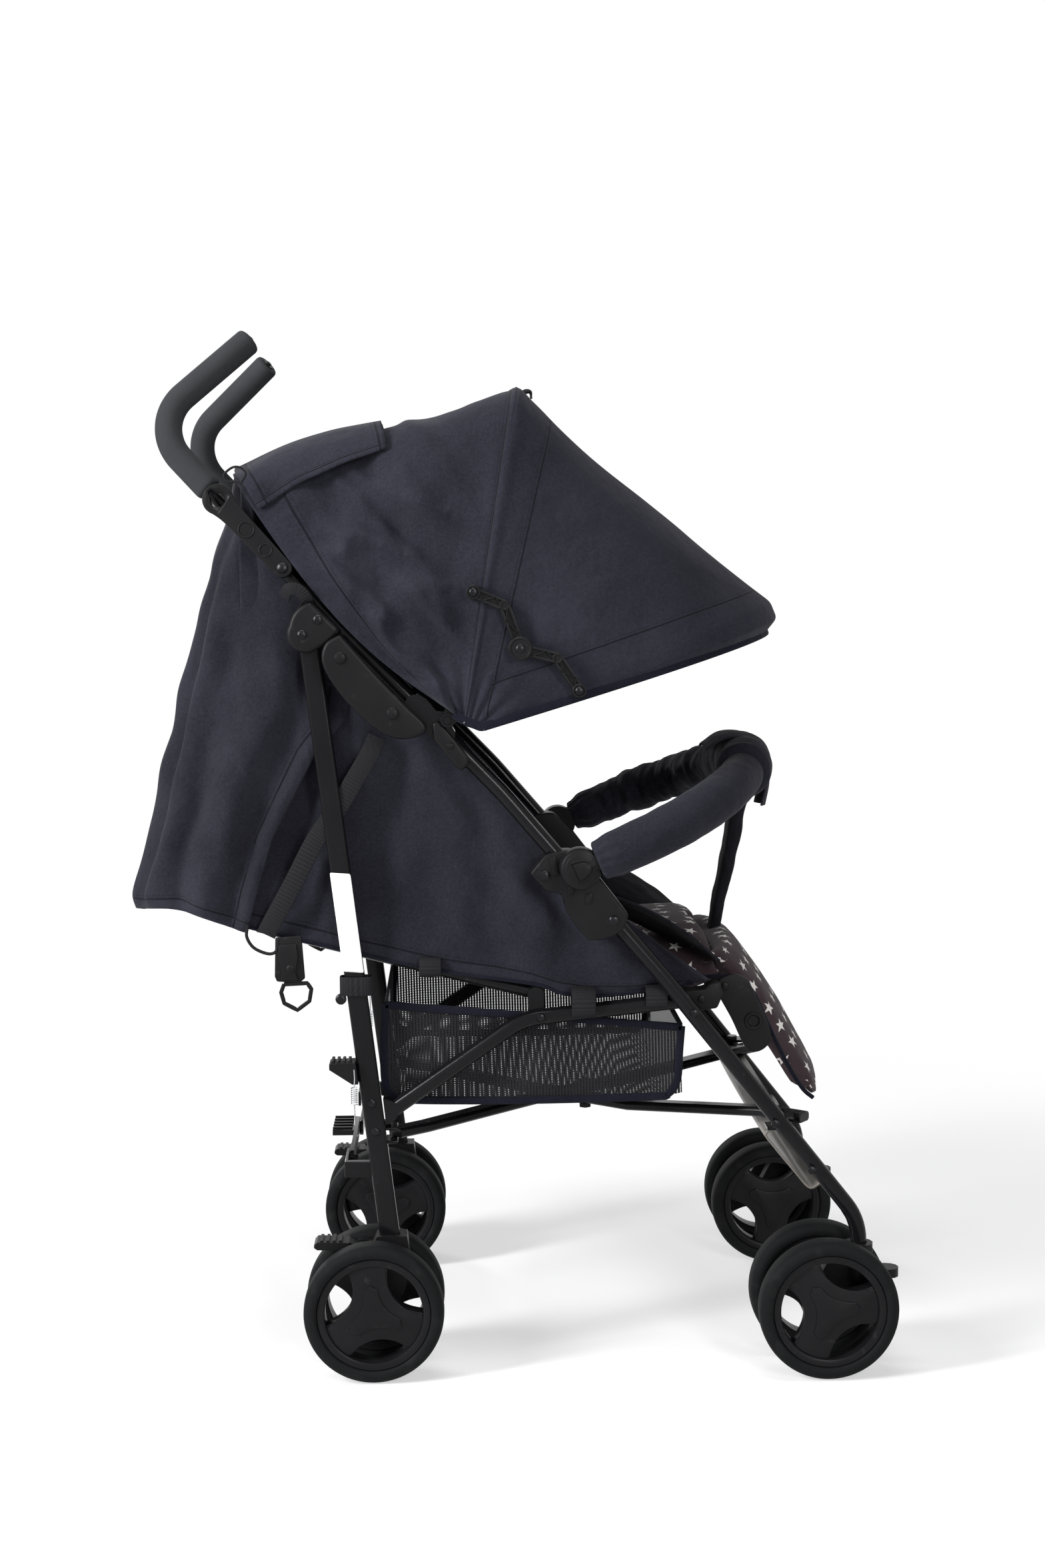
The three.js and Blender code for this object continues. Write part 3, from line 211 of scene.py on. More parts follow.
def foamLook():
    look = Look("grip_foam", Specular_IOR_Level=0.12)
    place = look.place()
    cells = look.node("TexVoronoi", {}, {"Vector": place, "Scale": 1300}, "Distance")
    cloud = look.grain(place, 25)
    return look.out(Base_Color=look.shade(cloud, (0.020, 0.021, 0.023), (0.032, 0.033, 0.036)),
                    Roughness=cloud * 0.1 + 0.85, Normal=look.bump(cells, 0.35, 0.0004))


# Sewn lines where a number of a seams UV map passes zero: a crease with a row of stitches beside it. The same
# mask gives the relief and darkens the cloth colour as painted shade in the seam crease.
stitching = {"pitch": 0.0034, "inset": 0.0032}


def seamReliefAndShade(look, count):
    creases = []
    run = look.split(look.place("UV"))[0]
    dash = run.stripes(stitching["pitch"]).over(-0.1, 0.3)
    for number in range(count):
        gap = look.split(look.node("UVMap", {"uv_map": f"seams{number // 2}"}, {}))[number % 2]
        seam = 1 - gap.maths("ABSOLUTE").over(0.0003, 0.0012)
        stitch = (1 - (gap - stitching["inset"]).maths("ABSOLUTE").over(0.0003, 0.0009)) * dash
        creases.append(seam + stitch * 0.4)
    whole = creases[0]
    for creaseAndShade in creases[1:]:
        whole = whole.maths("MAXIMUM", creaseAndShade)
    return whole.clamp()


def clothLook(name, dark, light, pitch=0.0011, sheen=0.05, seams=0):
    look = Look(name, Sheen_Weight=sheen, Sheen_Roughness=0.45, Specular_IOR_Level=0.03)
    place = look.place()
    threads = look.weave(pitch)
    slub = look.grain(place, 420, 3)
    cloud = look.grain(place, 9, 4)
    soft = look.bump(look.grain(place, 38, 4), 0.2, 0.006, look.bump(cloud, 0.35, 0.04))
    color = look.shade((threads * 0.22 + slub * 0.33 + cloud * 0.45).over(0.2, 0.8), dark, light)
    if seams:
        creaseAndShade = seamReliefAndShade(look, seams)
        # painted shade: the cloth is darkened along each seam crease and the stitch row beside it, towards a
        # quarter of the dark tone
        color = look.mix(creaseAndShade * 0.6, color, (*(part * 0.25 for part in dark), 1))
        soft = look.bump(1 - creaseAndShade, 0.8, 0.0012, soft)
    return look.out(Base_Color=color, Roughness=cloud * 0.12 + 0.74,
                    Normal=look.bump(threads + slub * 0.6, 0.35, 0.0003, soft))


# Pale five-point stars, each turned and shifted in its own cell of the UV map.
starPrint = {"cell": 0.025, "size": 0.0076, "inner": 0.4, "jitter": 0.35, "ink": (0.62, 0.60, 0.58, 1),
             "dark": (0.020, 0.012, 0.015), "light": (0.042, 0.027, 0.031)}


def printLook():
    look = Look("star_print", Sheen_Weight=0.08, Sheen_Roughness=0.5, Specular_IOR_Level=0.1)
    uv = look.place("UV")
    field = {"Vector": uv, "Scale": 1 / starPrint["cell"], "Randomness": starPrint["jitter"]}
    middle, tint = (look.node("TexVoronoi", {"voronoi_dimensions": "2D"}, field, output)
                    for output in ("Position", "Color"))
    x, y = look.split(look.node("VectorMath", {"operation": "SUBTRACT"}, {0: uv, 1: middle}))[:2]
    reach = (x * x + y * y).maths("SQRT")
    fifth = 2 * math.pi / 5
    angle = y.maths("ARCTAN2", x) + look.split(tint)[0] * 6.283 + 20 * fifth
    wedge = (angle.maths("MODULO", fifth) - fifth / 2).maths("ABSOLUTE")
    # edge of the star between a tip at wedge fifth / 2 and a notch at wedge 0
    tip = Vector((math.cos(fifth / 2), math.sin(fifth / 2))) * starPrint["size"]
    notch = Vector((starPrint["inner"] * starPrint["size"], 0))
    edge = tip - notch
    px, py = reach * wedge.maths("COSINE"), reach * wedge.maths("SINE")
    outside = (px - notch.x) * edge.y - (py - notch.y) * edge.x
    star = (0 - outside).over(-0.000002, 0.000002)
    threads = look.weave(0.0011)
    cloud, slub = look.grain(look.place(), 12, 4), look.grain(look.place(), 420, 3)
    cloth = look.shade(threads * 0.3 + slub * 0.3 + cloud * 0.4, starPrint["dark"], starPrint["light"])
    return look.out(Base_Color=look.mix(star, cloth, starPrint["ink"]), Roughness=cloud * 0.1 + 0.75,
                    Normal=look.bump(threads + slub * 0.5, 0.3, 0.0003))


# Open knit: the holes between the cords are cut out by alpha.
knit = {"pitch": 0.0032, "row": 0.0019, "dark": (0.006, 0.006, 0.007), "light": (0.016, 0.016, 0.018)}


def knitLook():
    look = Look("basket_knit", Specular_IOR_Level=0.12)
    u, v = look.split(look.place("UV"))[:2]
    columns, rows = u.stripes(knit["pitch"]), v.stripes(knit["row"])
    cloud = look.grain(look.place(), 30, 3)
    return look.out(Base_Color=look.shade(cloud, knit["dark"], knit["light"]), Roughness=cloud * 0.1 + 0.7,
                    Alpha=(0 - (columns * 1.1 + rows * 0.65)).over(-1.3, -0.75),
                    Normal=look.bump(columns + rows, 0.4, 0.0004))


def webbingLook():
    look = Look("black_webbing", Specular_IOR_Level=0.12)
    u, v = look.split(look.place("UV"))[:2]
    ribs = v.stripes(0.0026) * 0.5 + 0.5
    twill = (u + v * 0.6).stripes(0.0014) * 0.5 + 0.5
    height = ribs * 0.7 + twill * 0.3
    return look.out(Base_Color=look.shade(height, (0.005, 0.005, 0.006), (0.014, 0.014, 0.016)),
                    Roughness=height * 0.15 + 0.65, Normal=look.bump(height, 0.6, 0.0005))


def sheetLook():
    look = Look("coated_grey_sheet", Coat_Weight=0.2, Coat_Roughness=0.3)
    cloud, fine = look.grain(look.place(), 16, 4), look.grain(look.place(), 900, 2)
    return look.out(Base_Color=look.shade(cloud, (0.085, 0.076, 0.068), (0.15, 0.135, 0.12)),
                    Roughness=cloud * 0.2 + 0.35, Normal=look.bump(fine + cloud * 3.0, 0.2, 0.0004))


# Each finish with its slot and the angle above which an edge is sharp.
bumperCloth = clothLook("bumper_cloth", (0.0068, 0.0068, 0.0102), (0.025, 0.025, 0.0345))
looks = {
    "steel": (hardLook("black_powder_coat", (0.003, 0.003, 0.0035), (0.007, 0.007, 0.008), 0.13,
                       (14, 3, 0.12), (900, 2, 0.12, 0.0003), (120, 4, 0.66, 0.8, 0.35, 0.15, 0.03),
                       Coat_Weight=0.02, Coat_Roughness=0.05, Specular_IOR_Level=0.11), "steel_tube", 39),
    "plastic": (hardLook("moulded_black", (0.004, 0.004, 0.0045), (0.0085, 0.0085, 0.0092), 0.36,
                         Specular_IOR_Level=0.1), "black_plastic", 30),
    "wheelPlastic": (hardLook("wheel_black", (0.004, 0.004, 0.0045), (0.008, 0.008, 0.009), 0.32,
                              grain=(1100, 2, 0.2, 0.0002), Specular_IOR_Level=0.1), "black_plastic", 38),
    "band": (hardLook("blank_band", (0.62, 0.62, 0.62), (0.74, 0.74, 0.74), 0.4, grain=(600, 2, 0.05, 0.0002),
                      Specular_IOR_Level=0.1), "blank_band", 75),
    "tyre": (hardLook("tyre_foam_rubber", (0.0045, 0.0047, 0.005), (0.008, 0.0085, 0.009), 0.6, (30, 3, 0.15),
                      (700, 4, 0.3, 0.0004), (55, 6, 0.5, 0.75, 0.3, 0, 0.022), Specular_IOR_Level=0.06),
             "tyre", 60),
    "zinc": (metalLook("zinc_plate", (0.55, 0.56, 0.58), 0.3), "zinc_steel", 60),
    "rivet": (metalLook("dark_rivet", (0.025, 0.025, 0.027), 0.22), "zinc_steel", 30),
    "foam": (foamLook(), "foam_grip", 38),
    "hood": (clothLook("hood_cloth", (0.0072, 0.0072, 0.0108), (0.027, 0.027, 0.038), seams=4),
             "canopy_fabric", 75),
    "panel": (clothLook("side_cloth", (0.0068, 0.0068, 0.0102), (0.025, 0.025, 0.0345), seams=2),
              "side_fabric", 75),
    "sleeve": (bumperCloth, "bumper_fabric", 75),
    "lining": (clothLook("black_lining", (0.006, 0.006, 0.008), (0.014, 0.014, 0.018), 0.0011, 0.04),
               "side_fabric", 75),
    "piping": (clothLook("navy_binding", (0.005, 0.005, 0.0085), (0.011, 0.012, 0.019), 0.0008, 0.04),
               "piping", 60),
    "print": (printLook(), "seat_print", 180),
    "knit": (knitLook(), "basket_mesh", 75),
    "webbing": (webbingLook(), "webbing", 60),
    "sheet": (sheetLook(), "footrest_sheet", 75),
}
print("finishes made:", len(looks))


def joinMeshes(parts):
    whole = bmesh.new()
    for part in parts:
        mesh = bpy.data.meshes.new("part")
        part.to_mesh(mesh)
        part.free()
        whole.from_mesh(mesh)
        bpy.data.meshes.remove(mesh)
    return whole


# Makes a mesh, or a list of them, one piece on a body. A name that ends in _look replaces that node.
def makePiece(name, bm, look, body, slot=None, sharp=None, instead=None):
    if isinstance(bm, list):
        bm = joinMeshes(bm)
    material, usualSlot, usualSharp = looks[look]
    for face in bm.faces:
        face.smooth = True
    for edge in bm.edges:
        if len(edge.link_faces) == 2 and edge.calc_face_angle(0) > math.radians(sharp or usualSharp):
            edge.smooth = False
    mesh = bpy.data.meshes.new(name)
    bm.to_mesh(mesh)
    bm.free()
    mesh.materials.append(material)
    piece = bpy.data.objects.new(name, mesh)
    bpy.context.collection.objects.link(piece)
    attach(piece, body)
    slot or usualSlot
    node = instead or name.removesuffix("_look")
    if node != name and node in frame["nodes"]:
        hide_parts(node)
    return piece


def addModifier(piece, kind, **settings):
    modifier = piece.modifiers.new(kind.title(), kind)
    for key, value in settings.items():
        setattr(modifier, key, value)


def smoothPiece(piece):
    addModifier(piece, "SUBSURF", levels=1, render_levels=1)
    return piece


def applyAll(piece):
    bpy.context.view_layer.update()
    whole = bpy.data.meshes.new_from_object(piece.evaluated_get(bpy.context.evaluated_depsgraph_get()))
    piece.modifiers.clear()
    piece.data = whole


def sheetPiece(name, bm, look, body, thickness=0.0013, instead=None):
    piece = smoothPiece(makePiece(name, bm, look, body, sharp=75, instead=instead))
    addModifier(piece, "SOLIDIFY", thickness=thickness, offset=0)
    return piece


# Gives a soft piece its own copy of its mesh; the side frames close by foldTravel millimetres each.
foldTravel = 88


def foldIn(piece, half, fixed=0):
    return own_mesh(piece, "fold", (0, 1, 0), (0, mm(fixed), 0), 1 - foldTravel / half)


# A cleaned copy of a CAD node with its sharp edges rounded, standing in for the node.
def finishNode(node, look, bevel=0.6, extra=()):
    source = frame["nodes"][node]
    bm = bmesh.new()
    bm.from_mesh(source.data)
    bmesh.ops.remove_doubles(bm, verts=bm.verts, dist=2e-5)
    bmesh.ops.dissolve_limit(bm, angle_limit=math.radians(1), verts=bm.verts, edges=bm.edges)
    bmesh.ops.recalc_face_normals(bm, faces=bm.faces)
    body = body_of(source)[0]
    piece = makePiece(f"{node}_finish", [bm, *extra], look, body, None, 39, node)
    addModifier(piece, "BEVEL", width=mm(bevel), segments=2, limit_method="ANGLE",
                angle_limit=math.radians(42), harden_normals=False)
    return piece


# A grid whose corners go where place(u, v) says; the UV map holds u and v times the given metres.
# Each pair of edges, functions of (u, v, spot), fills a further UV map for seams.
def gridMesh(across, along, place, size=(1, 1), edges=()):
    bm = bmesh.new()
    cloth = bm.loops.layers.uv.new("cloth")
    bmesh.ops.create_grid(bm, x_segments=across, y_segments=along, size=0.5, calc_uvs=True)
    shares = {vertex: (vertex.co.x + 0.5, vertex.co.y + 0.5) for vertex in bm.verts}
    for vertex, (u, v) in shares.items():
        vertex.co = place(u, v)

    def fill(layer, values):
        for face in bm.faces:
            for loop in face.loops:
                loop[layer].uv = values[loop.vert]

    fill(cloth, {vertex: (u * size[0], v * size[1]) for vertex, (u, v) in shares.items()})
    for number in range(0, len(edges), 2):
        fill(bm.loops.layers.uv.new(f"seams{number // 2}"),
             {vertex: [edge(*share, vertex.co) for edge in edges[number:number + 2]]
              for vertex, share in shares.items()})
    return bm


# Pushes each corner out along its normal by height(u, v, spot), read from the cloth UV map.
def ruffle(bm, height, size):
    bm.normal_update()
    layer = bm.loops.layers.uv["cloth"]
    moves = {}
    for face in bm.faces:
        for loop in face.loops:
            if loop.vert not in moves:
                u, v = loop[layer].uv
                moves[loop.vert] = loop.vert.normal * height(u / size[0], v / size[1], loop.vert.co)
    for vertex, move in moves.items():
        vertex.co += move
    return bm


# The value at a place between (place, value) corners, straight between them.
def follow(corners, place):
    for (a, low), (b, high) in zip(corners, corners[1:]):
        if place <= b:
            return low + (high - low) * max(0, (place - a) / (b - a))
    return corners[-1][1]


def softNoise(x, y, z=0.0):
    return noise.fractal(Vector((x, y, z)), 1.0, 2.0, 2)


def smoothStep(value, low=0.0, high=1.0):
    share = min(1, max(0, (value - low) / (high - low)))
    return share * share * (3 - 2 * share)


def runLengths(path):
    return list(accumulate(((b - a).length for a, b in zip(path, path[1:])), initial=0))


# Stations along a line with rounded corners: places with a bend radius in millimetres each.
def bentPath(corners, step=0.35):
    path = []
    for number, (corner, radius) in enumerate(corners):
        if not radius:
            path.append(corner.copy())
            continue
        back = (corners[number - 1][0] - corner).normalized()
        ahead = (corners[number + 1][0] - corner).normalized()
        half = back.angle(ahead) / 2
        centre = corner + (back + ahead).normalized() * (mm(radius) / math.sin(half))
        reach = mm(radius) / math.tan(half)
        start = corner + back * reach - centre
        axis = start.cross(corner + ahead * reach - centre).normalized()
        turn = math.pi - 2 * half
        count = max(2, round(turn / step * 2))
        path += [centre + Matrix.Rotation(turn * n / count, 3, axis) @ start for n in range(count + 1)]
    return path


# A smooth curve through points, for cloth edges, straps and cords.
def throughPoints(points, steps=8):
    ends = [points[0] * 2 - points[1], *points, points[-1] * 2 - points[-2]]
    path = []
    for number in range(1, len(ends) - 2):
        a, b, c, d = ends[number - 1:number + 3]
        for n in range(steps):
            t = n / steps
            path.append(0.5 * (2 * b + (c - a) * t + (2 * a - 5 * b + 4 * c - d) * t * t
                               + (3 * b - a - 3 * c + d) * t ** 3))
    return path + [points[-1].copy()]


def smoothOutline(edge, steps):
    corners = [Vector((x, z)) for x, z in edge + edge[:1]]
    return [tuple(point) for point in throughPoints(corners, steps)[:-1]]


# Carries a closed section along a path without twist; bulge(share, angle) scales it.
def sweepMesh(path, section, side=(0, 1, 0), bulge=None, caps=True):
    frames, across = [], Vector(side)
    last = len(path) - 1
    for number in range(last + 1):
        ahead = (path[min(number + 1, last)] - path[max(number - 1, 0)]).normalized()
        across = (across - ahead * across.dot(ahead)).normalized()
        frames.append((across.copy(), ahead.cross(across).normalized()))
    lengths = runLengths(path)
    count = len(section)
    around = sum((Vector(section[n]) - Vector(section[n - 1])).length for n in range(count))

    def place(u, v):
        turn, station = round(u * count) % count, round(v * last)
        level, up = frames[station]
        a, b = section[turn]
        grow = bulge(lengths[station] / lengths[-1], 2 * math.pi * turn / count) if bulge else 1
        return path[station] + (level * a + up * b) * grow

    bm = gridMesh(count, last, place, (around, lengths[-1]))
    bmesh.ops.remove_doubles(bm, verts=bm.verts, dist=1e-6)
    if caps:
        bmesh.ops.holes_fill(bm, edges=[edge for edge in bm.edges if edge.is_boundary], sides=0)
    bmesh.ops.recalc_face_normals(bm, faces=bm.faces)
    return bm


# Sections are given in millimetres.
def roundSection(radius, count=24):
    return [(mm(radius) * math.cos(2 * math.pi * n / count), mm(radius) * math.sin(2 * math.pi * n / count))
            for n in range(count)]


def slabSection(wide, thick, corner, steps=2):
    section = []
    for quarter, (sx, sy) in enumerate(((1, 1), (-1, 1), (-1, -1), (1, -1))):
        for n in range(steps + 1):
            angle = math.pi / 2 * (quarter + n / steps)
            section.append((mm(sx * (wide / 2 - corner) + corner * math.cos(angle)),
                            mm(sy * (thick / 2 - corner) + corner * math.sin(angle))))
    return section


# A profile of (radius, offset) in millimetres turned about an axis along Y; sign mirrors the offsets.
def turnedMesh(profile, centre, sign=1, steps=48, closed=True):
    bm = bmesh.new()
    corners = [bm.verts.new((mm(radius), mm(offset) * sign, 0)) for radius, offset in profile]
    pairs = list(zip(corners, corners[1:])) + ([(corners[-1], corners[0])] if closed else [])
    edges = [bm.edges.new(pair) for pair in pairs]
    bmesh.ops.spin(bm, geom=corners + edges, cent=(0, 0, 0), axis=(0, 1, 0), angle=2 * math.pi,
                   steps=steps, use_merge=True, use_duplicate=False)
    bmesh.ops.remove_doubles(bm, verts=bm.verts, dist=1e-6)
    bmesh.ops.recalc_face_normals(bm, faces=bm.faces)
    bmesh.ops.translate(bm, vec=centre, verts=bm.verts)
    return bm


# An outline of (x, z) about a centre, thick from inner to outer on one side, with rounded edges.
def plateMesh(outline, inner, outer, sign=1, bevel=0.8, segments=2, centre=at(0, 0, 0)):
    low, high = sorted((mm(inner) * sign, mm(outer) * sign))
    bm = bmesh.new()
    corners = [bm.verts.new((centre.x + mm(x), centre.y + low, centre.z + mm(z))) for x, z in outline]
    made = bmesh.ops.extrude_face_region(bm, geom=[bm.faces.new(corners)])
    moved = [item for item in made["geom"] if isinstance(item, bmesh.types.BMVert)]
    bmesh.ops.translate(bm, vec=(0, high - low, 0), verts=moved)
    bmesh.ops.recalc_face_normals(bm, faces=bm.faces)
    if bevel:
        edges = [edge for edge in bm.edges if edge.calc_face_angle(0) > math.radians(35)]
        bmesh.ops.bevel(bm, geom=edges, offset=mm(bevel), offset_type="OFFSET", segments=segments,
                        profile=0.5, affect="EDGES", clamp_overlap=True, material=-1)
    return bm


# A domed rivet head that faces out to one side.
def rivetMesh(sign, x, y, z, radius=4.6, rise=2.2):
    profile = [(0, rise), (radius * 0.45, rise * 0.94), (radius * 0.8, rise * 0.7),
               (radius * 0.97, rise * 0.3), (radius, -rise * 0.4), (0, -rise * 0.4)]
    return turnedMesh(profile, at(x, sign * y, z), sign, 20, False)


def rivetPiece(name, spots, body, sign, look="rivet"):
    return makePiece(name, [rivetMesh(sign, *spot) for spot in spots], look, body)


def polar(radius, angle, x=0, z=0):
    return (x + radius * math.cos(math.radians(angle)), z + radius * math.sin(math.radians(angle)))


def arcPoints(radius, start, end, count=10, x=0, z=0):
    return [polar(radius, start + (end - start) * n / count, x, z) for n in range(count + 1)]


def bowPoints(start, control, end, count=8):
    return [tuple((1 - t) ** 2 * start[k] + 2 * t * (1 - t) * control[k] + t * t * end[k] for k in (0, 1))
            for t in (n / count for n in range(count + 1))]


wheelTurns = {"rear_outer_right": 97, "rear_inner_right": 140, "rear_outer_left": 60, "rear_inner_left": 20,
              "front_outer_right": 126, "front_inner_right": 160, "front_outer_left": 75,
              "front_inner_left": 30}
tyreCrown = [(56.9, 12.2), (57.6, 13.6), (59.4, 14.5), (62.0, 14.9), (64.4, 14.5), (66.2, 13.4), (67.0, 12.9),
             (68.3, 11.6), (69.3, 9.4), (69.85, 6.2), (70.0, 2.5)]
hubRim = [(56.9, 10.6), (56.0, 11.8), (54.6, 12.0), (50.6, 11.9), (49.4, 11.2), (48.8, 9.6), (48.6, 0),
          (48.8, -10.4), (50.0, -11.8), (56.0, -11.8), (56.9, -10.6)]
hubBoss = [(4.4, -11.8), (12.5, -11.8), (13, -11.2), (13, 0), (4.4, 0)]


def hubMesh(centre, outward, turn):
    def panel(tip, valley, count, low, high, bevel):
        outline = []
        for middle in (turn, turn + 120, turn + 240):
            outline += tip(middle)
            outline += bowPoints(outline[-1], polar(valley, middle + 60), tip(middle + 120)[0], count)[1:-1]
        return plateMesh(outline, low, high, outward, bevel, 2, centre)

    return [turnedMesh(hubRim, centre, outward, 72),
            panel(lambda middle: arcPoints(49.6, middle - 24, middle + 24, 6), 9, 14, -8, 8.6, 1.4),
            panel(lambda middle: arcPoints(48.9, middle - 21, middle + 21, 6), 13.5, 14, 8.2, 9.5, 0.5),
            panel(lambda middle: [polar(27, middle - 14), polar(27, middle - 10), polar(30.5, middle),
                                  polar(27, middle + 10), polar(27, middle + 14)], 8.5, 10, 9.2, 11.2, 0.9),
            turnedMesh(hubBoss, centre, outward, 32)]


def addWheels():
    for side, end, position in product(sides, ("front", "rear"), ("outer", "inner")):
        centre = sum(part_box(f"{end}_tyre_{position}_{side}"), Vector()) / 2
        outward = sides[side] * (1 if position == "outer" else -1)
        body = f"{side}_{end}_{position}_wheel"
        profile = tyreCrown + [(radius, -offset) for radius, offset in reversed(tyreCrown)]
        makePiece(f"{end}_tyre_{position}_{side}_look", turnedMesh(profile, centre, 1, 96), "tyre", body)
        makePiece(f"{end}_hub_{position}_{side}_look",
                  hubMesh(centre, outward, wheelTurns[f"{end}_{position}_{side}"]), "wheelPlastic", body)


addWheels()
print("wheels made")


# Corners of the side tube with their bend radii, and the radii of the round tubes.
frameLine = {"tip": (-121, 103, 1035, 0), "bend": (-215.5, 138, 949, 48), "hinge": (-22, 186, 743.5, 150),
             "upper": (130, 190, 587, 300), "middle": (293, 190, 398, 300), "stem": (489, 184.5, 150, 60),
             "foot": (489, 184.5, 98, 0)}
tubeRadius = {"frame": 8.06, "backrest": 7.06, "grip": 13.5}


def onSide(side, x, y, z, *rest):
    return at(x, sides[side] * y, z)


def addGrip(side):
    bend, tip, hinge = (onSide(side, *frameLine[key]) for key in ("bend", "tip", "hinge"))
    away, down = (tip - bend).normalized(), (hinge - bend).normalized()
    tip += away * 0.003
    low = bend + down * (onSide(side, -157, 149, 882) - bend).length
    path = [tip - away * step for step in (0, 0.0008, 0.002, 0.004)]
    path += bentPath([(tip, 0), (bend, frameLine["bend"][3]), (low, 0)], 0.14)[1:-1]
    path += [low - down * step for step in (0.006, 0.003, 0.0012, 0)]
    lengths = runLengths(path)
    shares = [length / lengths[-1] for length in lengths]
    ends = dict(zip(shares[:3] + shares[-3:], (0.8, 0.91, 0.97, 0.985, 0.94, 0.86)))
    grip = sweepMesh(path, roundSection(tubeRadius["grip"], 32),
                     bulge=lambda share, angle: ends.get(share, 1))
    makePiece(f"handle_grip_{side}_look", grip, "foam", f"{side}_frame")
    plug = [sweepMesh([tip + away * step for step in steps], roundSection(radius, count))
            for steps, radius, count in (((-0.002, 0.0006, 0.0012), 6.8, 24), ((0, 0.0022, 0.0028), 2.6, 16))]
    makePiece(f"handle_plug_{side}", plug, "plastic", f"{side}_frame")


def addTubes(side):
    tube = roundSection(tubeRadius["frame"], 28)
    corners = [(onSide(side, *corner), corner[3]) for corner in frameLine.values()]
    finishNode(f"side_tube_{side}", "steel", 0.8, [sweepMesh(bentPath(corners, 0.2), tube)])
    leg = sweepMesh([onSide(side, -59, 178, 744), onSide(side, 20, 178, 104)],
                    slabSection(12.1, 20.1, 3.4, 5))
    finishNode(f"rear_leg_{side}", "steel", 0.8, [leg])
    rail = [((315, 375), 0), ((150, 357), 70), ((20, 267), 0)]
    rail = bentPath([(onSide(side, x, 173.4, z), radius) for (x, z), radius in rail], 0.15)
    finishNode(f"side_rail_{side}", "steel", 1.2, [sweepMesh(rail, tube)])
    start, end = onSide(side, 164, 157, 381), onSide(side, -114, 157, 452)
    first, rear = start.lerp(end, 0.02), (end - start).normalized()
    back = sweepMesh([first, first.lerp(end, 0.5), end - rear * 0.003, end - rear * 0.001, end],
                     roundSection(tubeRadius["backrest"]),
                     bulge=lambda share, angle: 0.7 if share > 0.999 else 1)
    finishNode(f"backrest_tube_{side}", "steel", 1, [back])
    for name, bevel in (("rear_axle_housing", 1.4), ("brake_pedal", 1), ("front_fork", 1.4)):
        finishNode(f"{name}_{side}", "plastic", bevel)


# D-shaped moulding that clasps tube and leg, its flat face inside a soft rounded rim.
def addHinge(side):
    sign, body = sides[side], f"{side}_frame"
    x, z = -60, 743
    outline = arcPoints(18, 150, 300, 18, x, z)
    outline += bowPoints((x + 17, z - 12), (x + 30, z - 4), (x + 33.5, z + 5), 4)
    outline += bowPoints((x + 5, z + 32), (x - 13, z + 25), polar(18, 150, x, z))[:-1]
    makePiece(f"upper_hinge_{side}_look", plateMesh(outline, 170.7, 203.6, sign, 4.5, 5), "plastic", body)
    rivetPiece(f"upper_hinge_rivets_{side}", [(-47.5, 203.4, 757, 4.8), (-63, 203.4, 742.5, 4.8)], body, sign)


# The bumper bar's arch, and its bracket drawn about the hub.
bumperBar = {"hub": (206, 514.5), "half": 218.5, "reach": 150, "rise": 64, "lift": 7, "start": 42}
bracketCurves = [((-34, 11), (-18, 17), (-6, 15), 5), ((48, -48), (47, -60), (40, -66), 6),
                 ((40, -66), (24, -76), (8, -73), 8), ((8, -73), (-12, -52), (-15, -38), 8),
                 ((-15, -38), (-15, -30), (-20, -27), 4)]
bracketRibs = [[(-44, -8), (-40, -3), (-30, -9), (-36, -15)], [(-30, 8), (-24, 11), (-20, -8), (-27, -9)],
               [(-12, -20), (-7, -18), (-5, -25), (-11, -29)], [(6, -28), (12, -26), (12, -36), (5, -38)]]
hubDrum = [(0, 0), (20, 0), (20.2, 1), (20.2, 21), (19.4, 23.4), (17.6, 24.6), (16.2, 24.7), (15.4, 25.2),
           (14.2, 25.7), (0, 25.7)]
barSlope = math.atan2(bumperBar["rise"], bumperBar["reach"])
barAhead = Vector((math.cos(barSlope), 0, math.sin(barSlope)))


def addBracket(side):
    sign, body = sides[side], f"{side}_frame"
    hx, hz = bumperBar["hub"]
    hub = at(hx, 0, hz)
    curves = [bowPoints(*curve)[1:] for curve in bracketCurves]
    outline = [(-49, -7), (-34, 11), *curves[0], (14, -4), (48, -48), *sum(curves[1:], []), (-33, -24)]
    ribs = [plateMesh(rib, 203, 205.2, sign, 0.8, 2, hub) for rib in bracketRibs]
    makePiece(f"bumper_bracket_{side}_look", [plateMesh(outline, 175, 203.4, sign, 2.2, 3, hub), *ribs],
              "plastic", body)
    rivetPiece(f"bumper_bracket_rivets_{side}",
               [(hx - 34, 203.2, hz - 9, 5.2), (hx + 34, 203.2, hz - 54, 5.2)], body, sign)

    drum = turnedMesh(hubDrum, at(hx, 204.3 * sign, hz), sign, 48, False)
    middle = at(hx, bumperBar["half"] * sign, hz)
    socket = sweepMesh([middle + barAhead * mm(d) for d in (4, 24, 27.5, 29.3, 30)], roundSection(12.4, 28),
                       bulge=lambda share, angle: 1 if share < 0.9 else 0.94)
    half = 8.3
    letter = [(-half, half), *bowPoints((-half, -half), (half * 0.6, -half), (half, 0)),
              *bowPoints((half, 0), (half * 0.6, half), (-half, half))[1:-1]]
    turned = [(3 + a * barAhead.x - b * barAhead.z, a * barAhead.z + b * barAhead.x) for a, b in letter]
    ring = [at(hx + 3 + (a - 3) * 1.28, sign * 230.2, hz + b * 1.28) for a, b in turned + turned[:1]]
    rim = sweepMesh(ring, roundSection(0.9, 10), caps=False)
    makePiece(f"bumper_hub_{side}_look", [drum, socket, rim], "plastic", f"{side}_bumper")
    makePiece(f"bumper_button_{side}_look", plateMesh(turned, 225.2, 231.6, sign, 1.2, 3, hub), "plastic",
              f"{side}_bumper_button")


